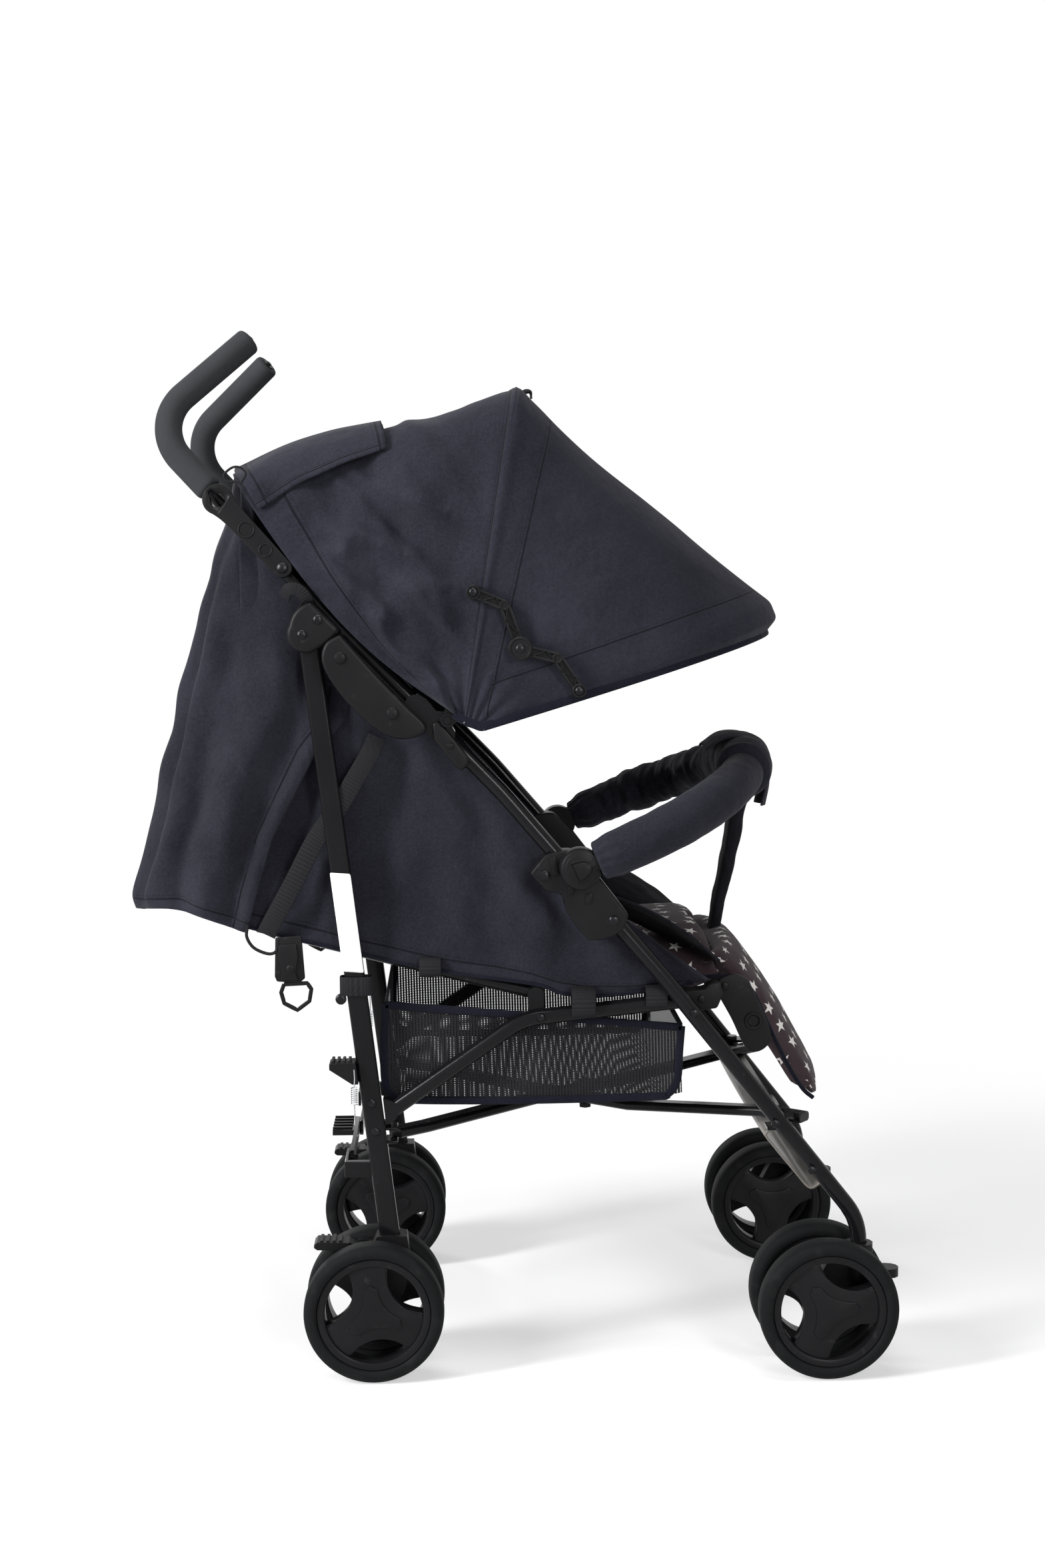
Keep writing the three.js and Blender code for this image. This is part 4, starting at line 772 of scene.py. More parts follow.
for side in sides:
    addGrip(side)
    addTubes(side)
    addHinge(side)
    addBracket(side)
for node, look, bevel in (("cross_bar_upper", "steel", 1.4), ("cross_bar_lower", "steel", 1.4),
                          ("rear_link_right", "steel", 0.8), ("rear_link_left", "steel", 0.8),
                          ("fold_lock_pedal", "plastic", 0.8)):
    finishNode(node, look, bevel)
print("side frames made")


# The carry latch, drawn flat along the tube with its screw at the origin.
def addLatch():
    hinge, bend = (onSide("right", *frameLine[key]) for key in ("hinge", "bend"))
    up = (bend - hinge).normalized()
    outward = (Vector((0, -1, 0)) + up * up.y).normalized()
    sideways = up.cross(outward).normalized()
    sideways *= math.copysign(1, sideways.z)
    basis = Matrix((up, sideways, outward)).transposed().to_4x4()
    basis.translation = hinge + up * ((mm(-80) + axleX - hinge.x) / up.x) + outward * mm(14.1)
    swap = Matrix(((1, 0, 0, 0), (0, 0, 1, 0), (0, 1, 0, 0), (0, 0, 0, 1)))

    def onLatch(bm, place=0):
        move = basis @ Matrix.Translation((mm(place), 0, 0)) @ swap
        bmesh.ops.transform(bm, matrix=move, verts=bm.verts)
        return bm

    def eyelet(place, radius, wide):
        rim = radius + wide
        profile = [(radius, 4.8), (rim, 4.8), (rim, 5.8), (radius + wide / 2, 6.1), (radius, 5.8)]
        return onLatch(turnedMesh(profile, Vector(), 1, 28), place)

    outline = arcPoints(9.5, 90, 270, 14) + bowPoints((66, -10.6), (78, -11), (85, -13), 4)
    outline += arcPoints(15.2, -118, 118, 26, 94) + bowPoints((85, 13), (78, 11), (66, 10.6), 4)
    hole = arcPoints(7.6, 32, 328, 22, 93) + arcPoints(3.7, -72, 72, 8, 102)
    strip = onLatch(plateMesh(outline, 0, 5, 1, 0.9, 3, Vector()))
    piece = makePiece("carry_latch_look", [strip, eyelet(24, 5.6, 1.1), eyelet(52, 7.2, 1.1)], "plastic",
                      "carry_latch")
    cutter = makePiece("latch_hole_cutter", onLatch(plateMesh(hole, -4, 9, 1, 0, 3, Vector())), "plastic",
                       "carry_latch")
    addModifier(piece, "BOOLEAN", object=cutter, operation="DIFFERENCE", solver="EXACT")
    applyAll(piece)
    bpy.data.objects.remove(cutter)
    head = [(0, 8), (3, 7.7), (5, 6.4), (5.6, 4.6), (5.2, -5), (0, -5)]
    makePiece("carry_latch_rivet", onLatch(turnedMesh(head, Vector(), 1, 24, False)), "rivet", "carry_latch")


addLatch()


# Each canopy strut: the joints it runs through, its layer across, its discs and its pins.
struts = {
    "rear": {"line": [(103, 783), (133, 770), (148, 728.5)], "layer": (214, 218),
             "discs": [(103, 783, 7.2, 209, 218.6), (133, 770, 5.4, 214, 218.1),
                       (148, 728.5, 11.2, 214, 218)],
             "pins": [(103, 218.4, 783, 4.2, 1.8)]},
    "front": {"line": [(148, 728.5), (184, 719), (205, 687.5)], "layer": (218.3, 222.3),
              "discs": [(148, 728.5, 11.6, 218.3, 223.2), (184, 719, 5.4, 218.3, 222.4),
                        (205, 687.5, 7.2, 209, 222.9)],
              "pins": [(205, 222.6, 687.5, 4.2, 1.8), (148, 222.8, 728.5, 4.4, 1.8)]},
}
strutShape = {"half": 5.4, "rim": 1.3, "brace": 13}


# An open girder between two rims, with a thin web and zigzag braces.
def strutMesh(corners, sign, inner, outer):
    half, rim = strutShape["half"], strutShape["rim"]
    parts = []
    for (ax, az), (bx, bz) in zip(corners, corners[1:]):
        run = math.hypot(bx - ax, bz - az)
        tx, tz = (bx - ax) / run, (bz - az) / run

        def add(spots, top, bevel, segments=2):
            outline = [(ax + tx * along - tz * across, az + tz * along + tx * across)
                       for along, across in spots]
            parts.append(plateMesh(outline, inner, top, sign, bevel, segments))

        for place, wide, top, bevel in ((half - rim, rim, outer, 0.5), (rim - half, rim, outer, 0.5),
                                        (0, half - 1, (inner + outer) / 2 - 0.4, 0)):
            add([(0, place - wide), (run, place - wide), (run, place + wide), (0, place + wide)], top, bevel)
        count = max(2, round(run / strutShape["brace"]))
        for n in range(count):
            s, e = run * n / count, run * (n + 1) / count
            lean = half - 1.4 if n % 2 else 1.4 - half
            nx, nz = Vector((-2 * lean, e - s)).normalized() * 0.7
            add([(s + nx, nz - lean), (e + nx, lean + nz), (e - nx, lean - nz), (s - nx, -lean - nz)],
                outer, 0.3, 1)
    return parts


def discMesh(sign, x, z, radius, inner, outer, lip=0.8):
    profile = [(0, inner), (radius - lip, inner), (radius, inner + lip), (radius, outer - lip),
               (radius - lip, outer), (radius - 2.2, outer), (radius - 2.8, outer - 0.6), (0, outer - 0.6)]
    return turnedMesh(profile, at(x, 0, z), sign, 32, False)


for side, (name, strut) in product(sides, struts.items()):
    parts = strutMesh(strut["line"], sides[side], *strut["layer"])
    parts += [discMesh(sides[side], *disc) for disc in strut["discs"]]
    makePiece(f"canopy_strut_{name}_{side}_look", parts, "plastic", f"{side}_strut_{name}")
    rivetPiece(f"canopy_strut_{name}_pins_{side}", strut["pins"], f"{side}_strut_{name}", sides[side])
print("latch and struts made")


# Arches of the hood from the front hem to the back edge: the share of its length where each stands,
# where it starts on the side, its crown, half width and squareness, and how far its sides sag.
hoodRows = {
    "hem": {"share": 0, "from": (112, 653), "crown": (414, 743), "half": 212, "square": 2.6, "sag": 0},
    "lip": {"share": 0.04, "from": (108, 653), "crown": (427, 757), "half": 213, "square": 2.7, "sag": 0},
    "front": {"share": 0.09, "from": (104, 655), "crown": (421, 776), "half": 213, "square": 2.8, "sag": 0},
    "ridge": {"share": 0.52, "from": (94, 658), "crown": (149, 988), "half": 206, "square": 7, "sag": 0},
    "rear": {"share": 1, "from": (84, 666), "crown": (-137, 904), "half": 186, "square": 7, "sag": 30},
}
hood = {"across": 150, "along": 46, "foot": 212.5, "foldHalf": 209, "size": (1.12, 0.72)}


# Points over one arch from the right side over the crown to the left, evenly spaced.
def archRow(row):
    fine = []
    for step in range(-540, 541):
        turn = math.radians(step / 6)
        share = max(0.0, math.cos(turn)) ** (2 / row["square"])
        across = math.copysign(abs(math.sin(turn)) ** (2 / row["square"]), step)
        x, z = (start + (crown - start) * share for start, crown in zip(row["from"], row["crown"]))
        width = hood["foot"] + (row["half"] - hood["foot"]) * share
        fine.append(at(x, across * width, z - row["sag"] * math.sin(math.pi * share)))
    lengths = runLengths(fine)
    arch, number = [], 0
    for n in range(hood["across"] + 1):
        goal = lengths[-1] * n / hood["across"]
        while number < len(fine) - 2 and lengths[number + 1] < goal:
            number += 1
        span = lengths[number + 1] - lengths[number]
        arch.append(fine[number].lerp(fine[number + 1], (goal - lengths[number]) / span if span else 0))
    return arch


arches = [(row["share"], archRow(row)) for row in hoodRows.values()]


def hoodSpot(u, v):
    column = min(hood["across"], max(0, u * hood["across"]))
    low = min(hood["across"] - 1, int(column))
    for (a, first), (b, second) in zip(arches, arches[1:]):
        if v <= b or b == 1:
            ends = [arch[low].lerp(arch[low + 1], column - low) for arch in (first, second)]
            return ends[0].lerp(ends[1], (v - a) / (b - a))


# Signed distance in the side view from a line through two corners, in metres.
def sideGap(spot, a, b):
    first, second = line((a, b))
    along = (second - first).normalized()
    return (spot.z - first.z) * along.x - (spot.x - first.x) * along.z


def sideView(spot):
    return (spot.x - axleX) * 1000, spot.z * 1000


# Height of the hood's folds: a fan of puckers at the foot, creases behind the ridge, a roll on it.
def hoodFolds(u, v, spot):
    side = abs(2 * u - 1)
    x, z = sideView(spot)
    fan, far = math.atan2(z - 640, x - 95), math.hypot(z - 640, x - 95)
    onSides = smoothStep(side, 0.25, 0.6)
    pucker = 1.2 * math.sin(fan * 22 + 2 * softNoise(u * 5, v * 3)) * smoothStep(110 - far, 0, 70) * onSides
    roll = 1.8 * math.exp(-((v - 0.515) / 0.008) ** 2) - 1.4 * math.exp(-((v - 0.532) / 0.006) ** 2)
    if v <= 0.52:
        fold = 1.6 * math.sin(fan * 9 + 0.6) * smoothStep(far, 60, 180) * (1 - smoothStep(v, 0.5, 0.54))
        fold += (0.9 * softNoise(x / 80, z / 80, side * 3)
                 - 5 * math.sin(math.pi * min(1, v / 0.5)) * (1 - onSides))
        return mm(pucker + fold * smoothStep(0.52 - v, 0, 0.06) + roll)
    swell = -8 * math.sin(math.pi * min(1, max(0, (v - 0.54) / 0.46))) * (0.5 + 0.5 * onSides)
    creases = 17 * softNoise(x / 80 + z / 110, z / 120 - x / 120, side * 1.5)
    creases += 7 * softNoise(x / 34 + z / 60, z / 70 - x / 90, 3 + side)
    along, over = 0.87 * x - 0.5 * z, 0.5 * x + 0.87 * z
    creases += 11 * (1 - min(1, 3 * abs(softNoise(along / 150, over / 46, 4.2 + side)))) ** 2
    fold = swell + creases * smoothStep(v, 0.55, 0.7) * (0.35 + 0.65 * onSides)
    return mm(pucker + fold * smoothStep(1 - v, 0, 0.1) + roll)


# Sewn lines of the hood: the ridge, the band ahead of it, the front hem and the back hem.
hoodSeams = (
    lambda u, v, spot: (v - 0.53) * 0.5,
    lambda u, v, spot: sideGap(spot, (94, 640), (169, 968)) + 0.016 if v < 0.55 else 0.1,
    lambda u, v, spot: sideGap(spot, (130, 697), (370, 778)) if v < 0.5 and spot.x > axleX + 0.118 else 0.1,
    lambda u, v, spot: (1 - v) * 0.34 - 0.021,
)


# The hood between two shares of its length; the front part swings with its bow, the rear one stays.
def hoodPart(name, low, high, body, lap=0):
    def whole(height):
        return lambda u, v, spot: height(u, low + (high - low) * v, spot)

    def folds(u, v, spot):
        return hoodFolds(u, v, spot) + mm(lap) * smoothStep(v, 0.5, 0.52)

    size = (hood["size"][0], hood["size"][1] * (high - low))
    bm = gridMesh(hood["across"], hood["along"], lambda u, v: hoodSpot(u, low + (high - low) * v), size,
                  [whole(seam) for seam in hoodSeams])
    piece = sheetPiece(name, ruffle(bm, whole(folds), size), "hood", body, instead="canopy_cover")
    foldIn(piece, hood["foldHalf"])


hoodPart("canopy_rear", 0.52, 1, "centre")
hoodPart("canopy_front_look", 0, 0.532, "canopy_front", 1.2)


# Upright lines of the bag as (height, place), all in millimetres.
bag = {
    "rear": [(870, -127), (749, -157), (673, -175), (557, -202), (484, -223)],
    "middle": [(904, -138), (884, -143), (749, -177), (665, -195), (539, -225), (459, -246)],
    "front": [(874, -92), (806, -30), (742, 2), (700, -14), (660, -22), (627, -52), (578, -78), (540, -97),
              (485, -113), (444, -124)],
    "half": [(880, 156), (806, 160), (742, 164), (627, 168), (540, 172), (444, 172)],
    "corner": 0.52, "inset": 24, "top": 876, "bottom": 447, "size": (0.86, 0.47),
}


def bagSpot(u, v):
    side = 2 * u - 1
    near, corner = abs(side), bag["corner"]
    top = bag["top"] + 28 * (1 - near ** 6)
    bottom = bag["bottom"] + 22 * smoothStep(1 - near, 0, 0.5) - 8 * smoothStep(1 - near, 0.5, 1)
    z = top + (bottom - top) * v
    half, front, rear, middle = (follow([(-height, value) for height, value in bag[key]], -z)
                                 for key in ("half", "front", "rear", "middle"))
    if near > corner:
        share = (near - corner) / (1 - corner)
        x = rear + (front - rear) * share ** 1.1
        y = half - bag["inset"] * (1 - share) ** 5
        z += 8 * math.sin(math.pi * share) * v
    else:
        share = near / corner
        y = (half - bag["inset"]) * math.sin(share * math.pi / 2) ** 1.15
        x = middle + (rear - middle) * share ** 2.6
        z -= 3 * v * (1 - share ** 2)
    return at(x, math.copysign(y, side), z)


def bagFolds(u, v, spot):
    near = abs(2 * u - 1)
    x, z = sideView(spot)
    phase = near * 26 + 1.4 * softNoise(near * 4, v * 2.4, 7.7) + (0.7 if u > 0.5 else 0)
    upright = math.sin(phase) * (2.0 + 5.4 * smoothStep(v, 0.05, 0.6)) * smoothStep(1 - near, 0, 0.06)
    drag = 7.0 * softNoise(x / 50 + z / 260, z / 150, 5.5 + near)
    small = 0.9 * softNoise(x / 18, z / 40, 9.1)
    pinch = 2.4 * math.sin(z / 9 + x / 14) * math.exp(-((x + 20) ** 2 + (z - 760) ** 2) / 1800)
    return mm((upright + drag + small) * smoothStep(v, 0, 0.08) * smoothStep(1.02 - v, 0, 0.05) + pinch)


# Side cloth between the frame tube and the recliner tube, hanging in upright folds.
panel = {
    "top": [(-120, 858), (-22, 735), (130, 578), (203, 500), (250, 460), (276, 441), (303, 420), (333, 399),
            (337, 396)],
    "bottom": [(-122, 452), (60, 408), (161, 392), (187, 383), (213, 379), (252, 381), (291, 387),
               (337, 393)],
    "rear": -127, "front": 337, "half": 178, "size": (0.46, 0.3),
}


def panelSpot(side):
    def place(u, v):
        x = panel["rear"] + (panel["front"] - panel["rear"]) * u
        top, low = follow(panel["top"], x), follow(panel["bottom"], x)
        inset = panel["half"] - 9 * v - 9 * math.sin(math.pi * v) * smoothStep(1 - u, 0, 0.3)
        narrow = 22 * smoothStep(-x, -20, 118) * (1 - v)
        return at(x, sides[side] * (inset - narrow), top + (low - top) * v)
    return place


def panelFolds(u, v, spot):
    x = sideView(spot)[0]
    hold = smoothStep(v, 0, 0.25) * smoothStep(1 - v, 0, 0.12) * smoothStep(1 - u, 0, 0.12)
    wave = 3.6 * math.sin(x / 15 + 2.2 * softNoise(x / 90, v * 2, 2.2))
    return mm((wave + 4.5 * softNoise(x / 60, v * 3, 4.4)) * hold)


def addEnclosure():
    seams = (lambda u, v, spot: (1 - abs(2 * u - 1)) * 0.21 - 0.013,
             lambda u, v, spot: (1 - v) * 0.44 - 0.010)
    parts = [ruffle(gridMesh(150, 100, bagSpot, bag["size"], seams), bagFolds, bag["size"])]
    seams = (lambda u, v, spot: (1 - v) * 0.3 * (0.2 + 0.8 * (1 - u)) - 0.010, lambda u, v, spot: 0.1)
    for side in sides:
        grid = gridMesh(110, 60, panelSpot(side), panel["size"], seams)
        parts.append(ruffle(grid, panelFolds, panel["size"]))
    cloth = sheetPiece("seat_enclosure_look", parts, "panel", "centre")
    foldIn(cloth, 176)


addEnclosure()
print("canopy and side cloths made")


# Blows a closed cloth box up against its own seams, then settles it into the mesh.
def plump(piece, pressure, cap, voxel=0.0055, frames=20):
    addModifier(piece, "REMESH", mode="VOXEL", voxel_size=voxel, use_smooth_shade=True)
    applyAll(piece)
    rest = [vertex.co.copy() for vertex in piece.data.vertices]
    cloth = piece.modifiers.new("Cloth", "CLOTH")
    settings = {"use_pressure": True, "uniform_pressure_force": pressure, "mass": 0.2, "quality": 5,
                "tension_stiffness": 18, "compression_stiffness": 18}
    for key, value in settings.items():
        setattr(cloth.settings, key, value)
    cloth.settings.effector_weights.gravity = 0
    cloth.collision_settings.use_collision = False
    cloth.collision_settings.use_self_collision = False
    cloth.point_cache.frame_start, cloth.point_cache.frame_end = 1, frames
    for number in range(1, frames + 1):
        bpy.context.scene.frame_set(number)
    applyAll(piece)
    bpy.context.scene.frame_set(1)
    for vertex, start in zip(piece.data.vertices, rest):
        move = vertex.co - start
        if move.length > cap:
            vertex.co = start + move * (cap / move.length)


# UV map in metres that runs along a pad's top line, with its two sides laid out apart.
def mapPad(piece, outline):
    layer = piece.data.uv_layers.get("cloth") or piece.data.uv_layers.new(name="cloth")
    corners = line(outline)
    lengths = runLengths(corners)

    def around(spot):
        flat = Vector((spot.x, 0, spot.z))
        best = (1, 0)
        for a, b, start in zip(corners, corners[1:], lengths):
            along = b - a
            share = min(1, max(0, (flat - a).dot(along) / along.length_squared))
            best = min(best, ((a + along * share - flat).length, start + along.length * share))
        return best[1]

    places = [around(vertex.co) for vertex in piece.data.vertices]
    for face in piece.data.polygons:
        for index in face.loop_indices:
            number = piece.data.loops[index].vertex_index
            spot = piece.data.vertices[number].co
            sideFace = abs(face.normal.y) > 0.75
            layer.data[index].uv = (spot.x + 0.67, spot.z) if sideFace else (spot.y, places[number])
    layer.active = True


# Each pad: its printed top line, the rest of its outline, its half width, the body it rides on, how
# hard and how far it swells, the half width and side it hands to foldIn, and how it thins towards its
# long sides: a corner, a normal and a share.
pads = {
    "seat_pad_look": {
        "top": [(356, 396), (360, 409), (356, 421), (345, 430), (326, 433), (250, 429), (180, 420),
                (128, 414)],
        "rest": [(128, 388), (346, 388)], "half": 150, "body": "centre", "pressure": 4.0, "cap": 0.009,
        "fold": (150, 0), "crown": ((128, 390), (0, 0, 1), 0.75)},
    "backrest_pad_look": {
        "top": [(126, 414), (-190, 484), (-200, 478), (-196, 468)], "rest": [(130, 396)], "half": 146,
        "body": "right_backrest_tube", "pressure": 4.0, "cap": 0.009, "fold": (146, -146),
        "instead": "seat_pad"},
    "leg_rest_look": {
        "top": [(338, 420), (362, 423), (378, 412), (403, 378), (423, 347), (450, 298), (465, 268),
                (451, 262)],
        "rest": [(436, 287), (407, 337), (388, 367), (366, 396), (352, 404)], "half": 143,
        "body": "leg_rest", "pressure": 3.2, "cap": 0.007, "fold": (146, 0),
        "crown": ((347, 400), (0.82, 0, 0.57), 0.66)},
}


def addPad(name, top, rest, half, body, pressure, cap, fold, crown=None, instead=None):
    bm = plateMesh(top + rest, -half, half, 1, 0)
    for cut in range(-3, 4):
        bmesh.ops.bisect_plane(bm, geom=bm.verts[:] + bm.edges[:] + bm.faces[:], dist=1e-6,
                               plane_co=(0, mm(half) * cut / 4, 0), plane_no=(0, 1, 0))
    if crown:
        (x, z), normal, share = crown
        up = Vector(normal).normalized()
        for vertex in bm.verts:
            depth = min(max(0, (vertex.co - at(x, 0, z)).dot(up)), vertex.co.z)
            vertex.co -= up * depth * share * (abs(vertex.co.y) / mm(half)) ** 3
    piece = makePiece(name, bm, "print", body, instead=instead)
    plump(piece, pressure, cap)
    mapPad(piece, top)
    foldIn(piece, *fold)


for name, pad in pads.items():
    addPad(name, **pad)
print("pads made")


# Centre line of the bumper bar between two turns, from -90 at the right hub to 90 at the left one.
def barPath(first, last, count, lead=()):
    x, z = bumperBar["hub"]
    hub = Vector((0, mm(bumperBar["half"]) * math.sin(math.radians(first)), 0))
    path = [at(x, 0, z) + barAhead * mm(d) + hub for d in lead]
    for n in range(count + 1):
        turn = math.radians(first + (last - first) * n / count)
        share = math.cos(turn)
        path.append(at(x + bumperBar["start"] * barAhead.x + bumperBar["reach"] * share,
                       bumperBar["half"] * math.sin(turn),
                       z + bumperBar["start"] * barAhead.z + bumperBar["rise"] * share
                       + bumperBar["lift"] * share ** 4))
    return path


# The bar rides with its right hub, the side that closeBar hands to foldIn with its half width.
def closeBar(piece):
    foldIn(piece, bumperBar["half"], -bumperBar["half"])


# The far sleeve is gathered more than the near one, and its mouth is tighter.
sleeves = {-1: {"ruffles": 0.35, "mouth": 0.14}, 1: {"ruffles": 2.4, "mouth": 0.26}}


def sleeveMesh(sign, ruffles, mouth):
    def gather(share, angle):
        opening = 1 - mouth * smoothStep(0.07 - share, 0, 0.05)
        cuff = 0.045 * math.sin(angle * 13 + 3 * softNoise(angle, share * 8))
        cuff *= smoothStep(0.15 - share, 0, 0.13)
        rings = softNoise(share * 15, math.sin(angle) * 1.3, 3.3 + sign) * 0.06 * ruffles
        rings += 0.05 * math.sin(math.pi * min(1, share * 1.1))
        folds = 0.02 * ruffles * softNoise(share * 38, math.cos(angle + share * 9) * 1.8, 8.8)
        end = 1 - 0.1 * smoothStep(share, 0.97, 1.0)
        return (opening + cuff + (rings + folds) * smoothStep(share, 0.05, 0.2)) * end * 0.985

    path = barPath(sign * 90, sign * 15, 90, (17, 21, 26, 31, 36))
    return sweepMesh(path, roundSection(22.6, 64), bulge=gather)


def wrapFolds(share, angle):
    ends = 1 - 0.16 * (smoothStep(0.05 - share, 0, 0.05) + smoothStep(share, 0.95, 1))
    tuck = 0.05 * softNoise(share * 7, math.sin(angle) * 1.2, 1.7)
    tuck += 0.03 * softNoise(share * 22, angle * 0.9, 6.1)
    return (1 + tuck + 0.10 * max(0, math.sin(angle - 0.5))) * ends


def addBumper():
    meshes = [sleeveMesh(sign, **sleeve) for sign, sleeve in sleeves.items()]
    sleeve = smoothPiece(makePiece("bumper_sleeves", meshes, "sleeve", "right_bumper", instead="bumper_bar"))
    closeBar(sleeve)
    wrap = sweepMesh(barPath(-23, 23, 60), roundSection(28.5, 64), bulge=wrapFolds)
    wrap = smoothPiece(makePiece("bumper_wrap", wrap, "sleeve", "right_bumper"))
    closeBar(wrap)


# A cloth flap over the front of the wrap, and the strap from it down to the seat.
def addCrotchStrap():
    path = throughPoints(line([(352, 622), (372, 634), (398, 632), (416, 614), (420, 585), (414, 556)]), 10)
    count = len(path) - 1

    def flapSpot(u, v):
        side = 2 * u - 1
        curl = 3.5 * math.sin(side * 4 + v * 3) * smoothStep(v, 0.4, 1)
        wide = side * (34 + 4 * math.sin(v * 5))
        return path[round(v * count)] + Vector((curl, wide, -6 * side * side * (1 - v))) / 1000

    seams = (lambda u, v, spot: (0.5 - abs(u - 0.5)) * 0.07 - 0.006,
             lambda u, v, spot: (1 - v) * 0.12 - 0.006)
    flap = gridMesh(26, count, flapSpot, (0.07, 0.12), seams)
    flapPiece = sheetPiece("bumper_flap", flap, "sleeve", "right_bumper", 0.002)
    closeBar(flapPiece)

    def twist(share, angle):
        soft = 0.05 * math.sin(share * 21 + angle) + 0.08 * softNoise(share * 9, math.sin(angle), 4.1)
        return (1.05 - 0.42 * share + soft) * (1 - 0.25 * smoothStep(share, 0.93, 1))

    run = throughPoints(line([(393, 574), (388, 548), (382, 510), (373, 468), (366, 432), (362, 410)]), 12)
    strap = sweepMesh(run, slabSection(42, 17, 8, 5), bulge=twist)
    strap = smoothPiece(makePiece("crotch_strap", strap, "lining", "centre", "bumper_fabric"))
    at(362, 0, 408)
    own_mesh(strap)


addBumper()
addCrotchStrap()
print("bumper made")


# The basket's upright outline from rear to front, and the same for the binding sewn on its walls.
basket = {
    "outline": [(12, 372), (11, 330), (12, 292), (16, 280), (30, 273.5), (150, 272), (285, 274), (300, 277),
                (307, 292), (309, 320), (311, 346)],
    "binding": [(13, 371), (11, 330), (12, 292), (20, 278), (40, 273.5), (150, 272), (280, 274), (298, 277),
                (307, 292), (309, 320), (311, 346)],
    "half": 163.5, "sag": 5, "foldHalf": 163,
}


def addBasket():
    half = basket["half"]
    outline = throughPoints(line(basket["outline"]), 4)
    count = len(outline) - 1

    def hammock(u, v):
        side = 2 * u - 1
        sag = -basket["sag"] * math.sin(math.pi * v) * (1 - side ** 4) if 0.2 < v < 0.8 else 0
        return outline[round(v * count)] + Vector((0, side * half, sag)) / 1000

    def wall(sign):
        def place(u, v):
            low = 273 + 5 * (abs(2 * u - 1) ** 8)
            bulge = 1.6 * math.sin(math.pi * v) * math.sin(u * 21)
            return at(13 + 297 * u + 2 * (1 - v), sign * (half - bulge), low + (372 - 26 * u - low) * v)
        return gridMesh(50, 14, place, (0.3, 0.09))

    parts = [gridMesh(40, count, hammock, (0.327, 0.5)), *(wall(sign) for sign in sides.values())]
    mesh = makePiece("mesh_basket_look", parts, "knit", "centre")
    foldIn(mesh, basket["foldHalf"])

    tape = slabSection(3, 8, 1.2)
    edges = []
    for sign in sides.values():
        y = sign * (half + 0.4)
        edges.append(sweepMesh(throughPoints(line(basket["binding"], y), 5), tape))
        edges.append(sweepMesh([at(13 + 298 * n / 10, y, 371 - 26 * n / 10) for n in range(11)], tape))
    for x, z in ((13, 371), (311, 346)):
        across = [at(x, y, z) for y in range(-164, 165, 41)]
        edges.append(sweepMesh(across, slabSection(8, 2.4, 1), (0, 0, 1)))
    foldIn(makePiece("basket_binding", edges, "piping", "centre"), basket["foldHalf"])


def addFootrest():
    corners = [(419, 247), (405, 243), (396, 236), (404, 224), (426, 197), (440, 181), (449, 183), (457, 192)]
    path = throughPoints(line(corners), 8)
    last = len(path) - 1

    def spot(u, v):
        side = 2 * u - 1
        wave = 1.4 * math.sin(side * 9) * smoothStep(v, 0.7, 1)
        wave -= 3 * (1 - side * side) * math.sin(math.pi * v)
        return path[round(v * last)] + Vector((0, side * 174, wave)) / 1000

    bm = gridMesh(60, last, spot, (0.35, 0.1))
    piece = sheetPiece("footrest_sheet_look", bm, "sheet", "centre", 0.0022)
    foldIn(piece, 176)


addBasket()
addFootrest()
for node in ("canopy_bow_middle", "canopy_bow_front"):
    foldIn(finishNode(node, "steel"), 206)
print("basket and bows made")


# Closed bands of webbing: the side view of the middle, the distance out, half sizes and width, and
# whether the band stands upright or lies about an upright piece.
webbingBands = {
    "rail_loop_back": ((58, 410), 163, (9.5, 12), 22, True),
    "rail_loop_seat": ((211, 374), 174, (14.5, 12.5), 24, True),
    "rail_loop_front": ((284, 379), 174, (10.5, 12), 22, True),
    "leg_loop": ((-15, 394), 178, (16, 8.6), 19, False),
}


def addBand(name, side, middle, out, halves, wide, upright):
    corners = []
    for n in range(33):
        turn = 2 * math.pi * n / 32
        first, second = (half * math.copysign(abs(part) ** 0.6, part)
                         for half, part in zip(halves, (math.cos(turn), math.sin(turn))))
        x, z = (middle[0], middle[1] + first) if upright else (middle[0] + first, middle[1])
        corners.append(at(x, sides[side] * (out + second), z))
    bm = sweepMesh(corners, slabSection(wide, 1.8, 0.7), (1, 0, 0) if upright else (0, 0, 1), caps=False)
    makePiece(f"{name}_{side}", bm, "webbing", f"{side}_frame")


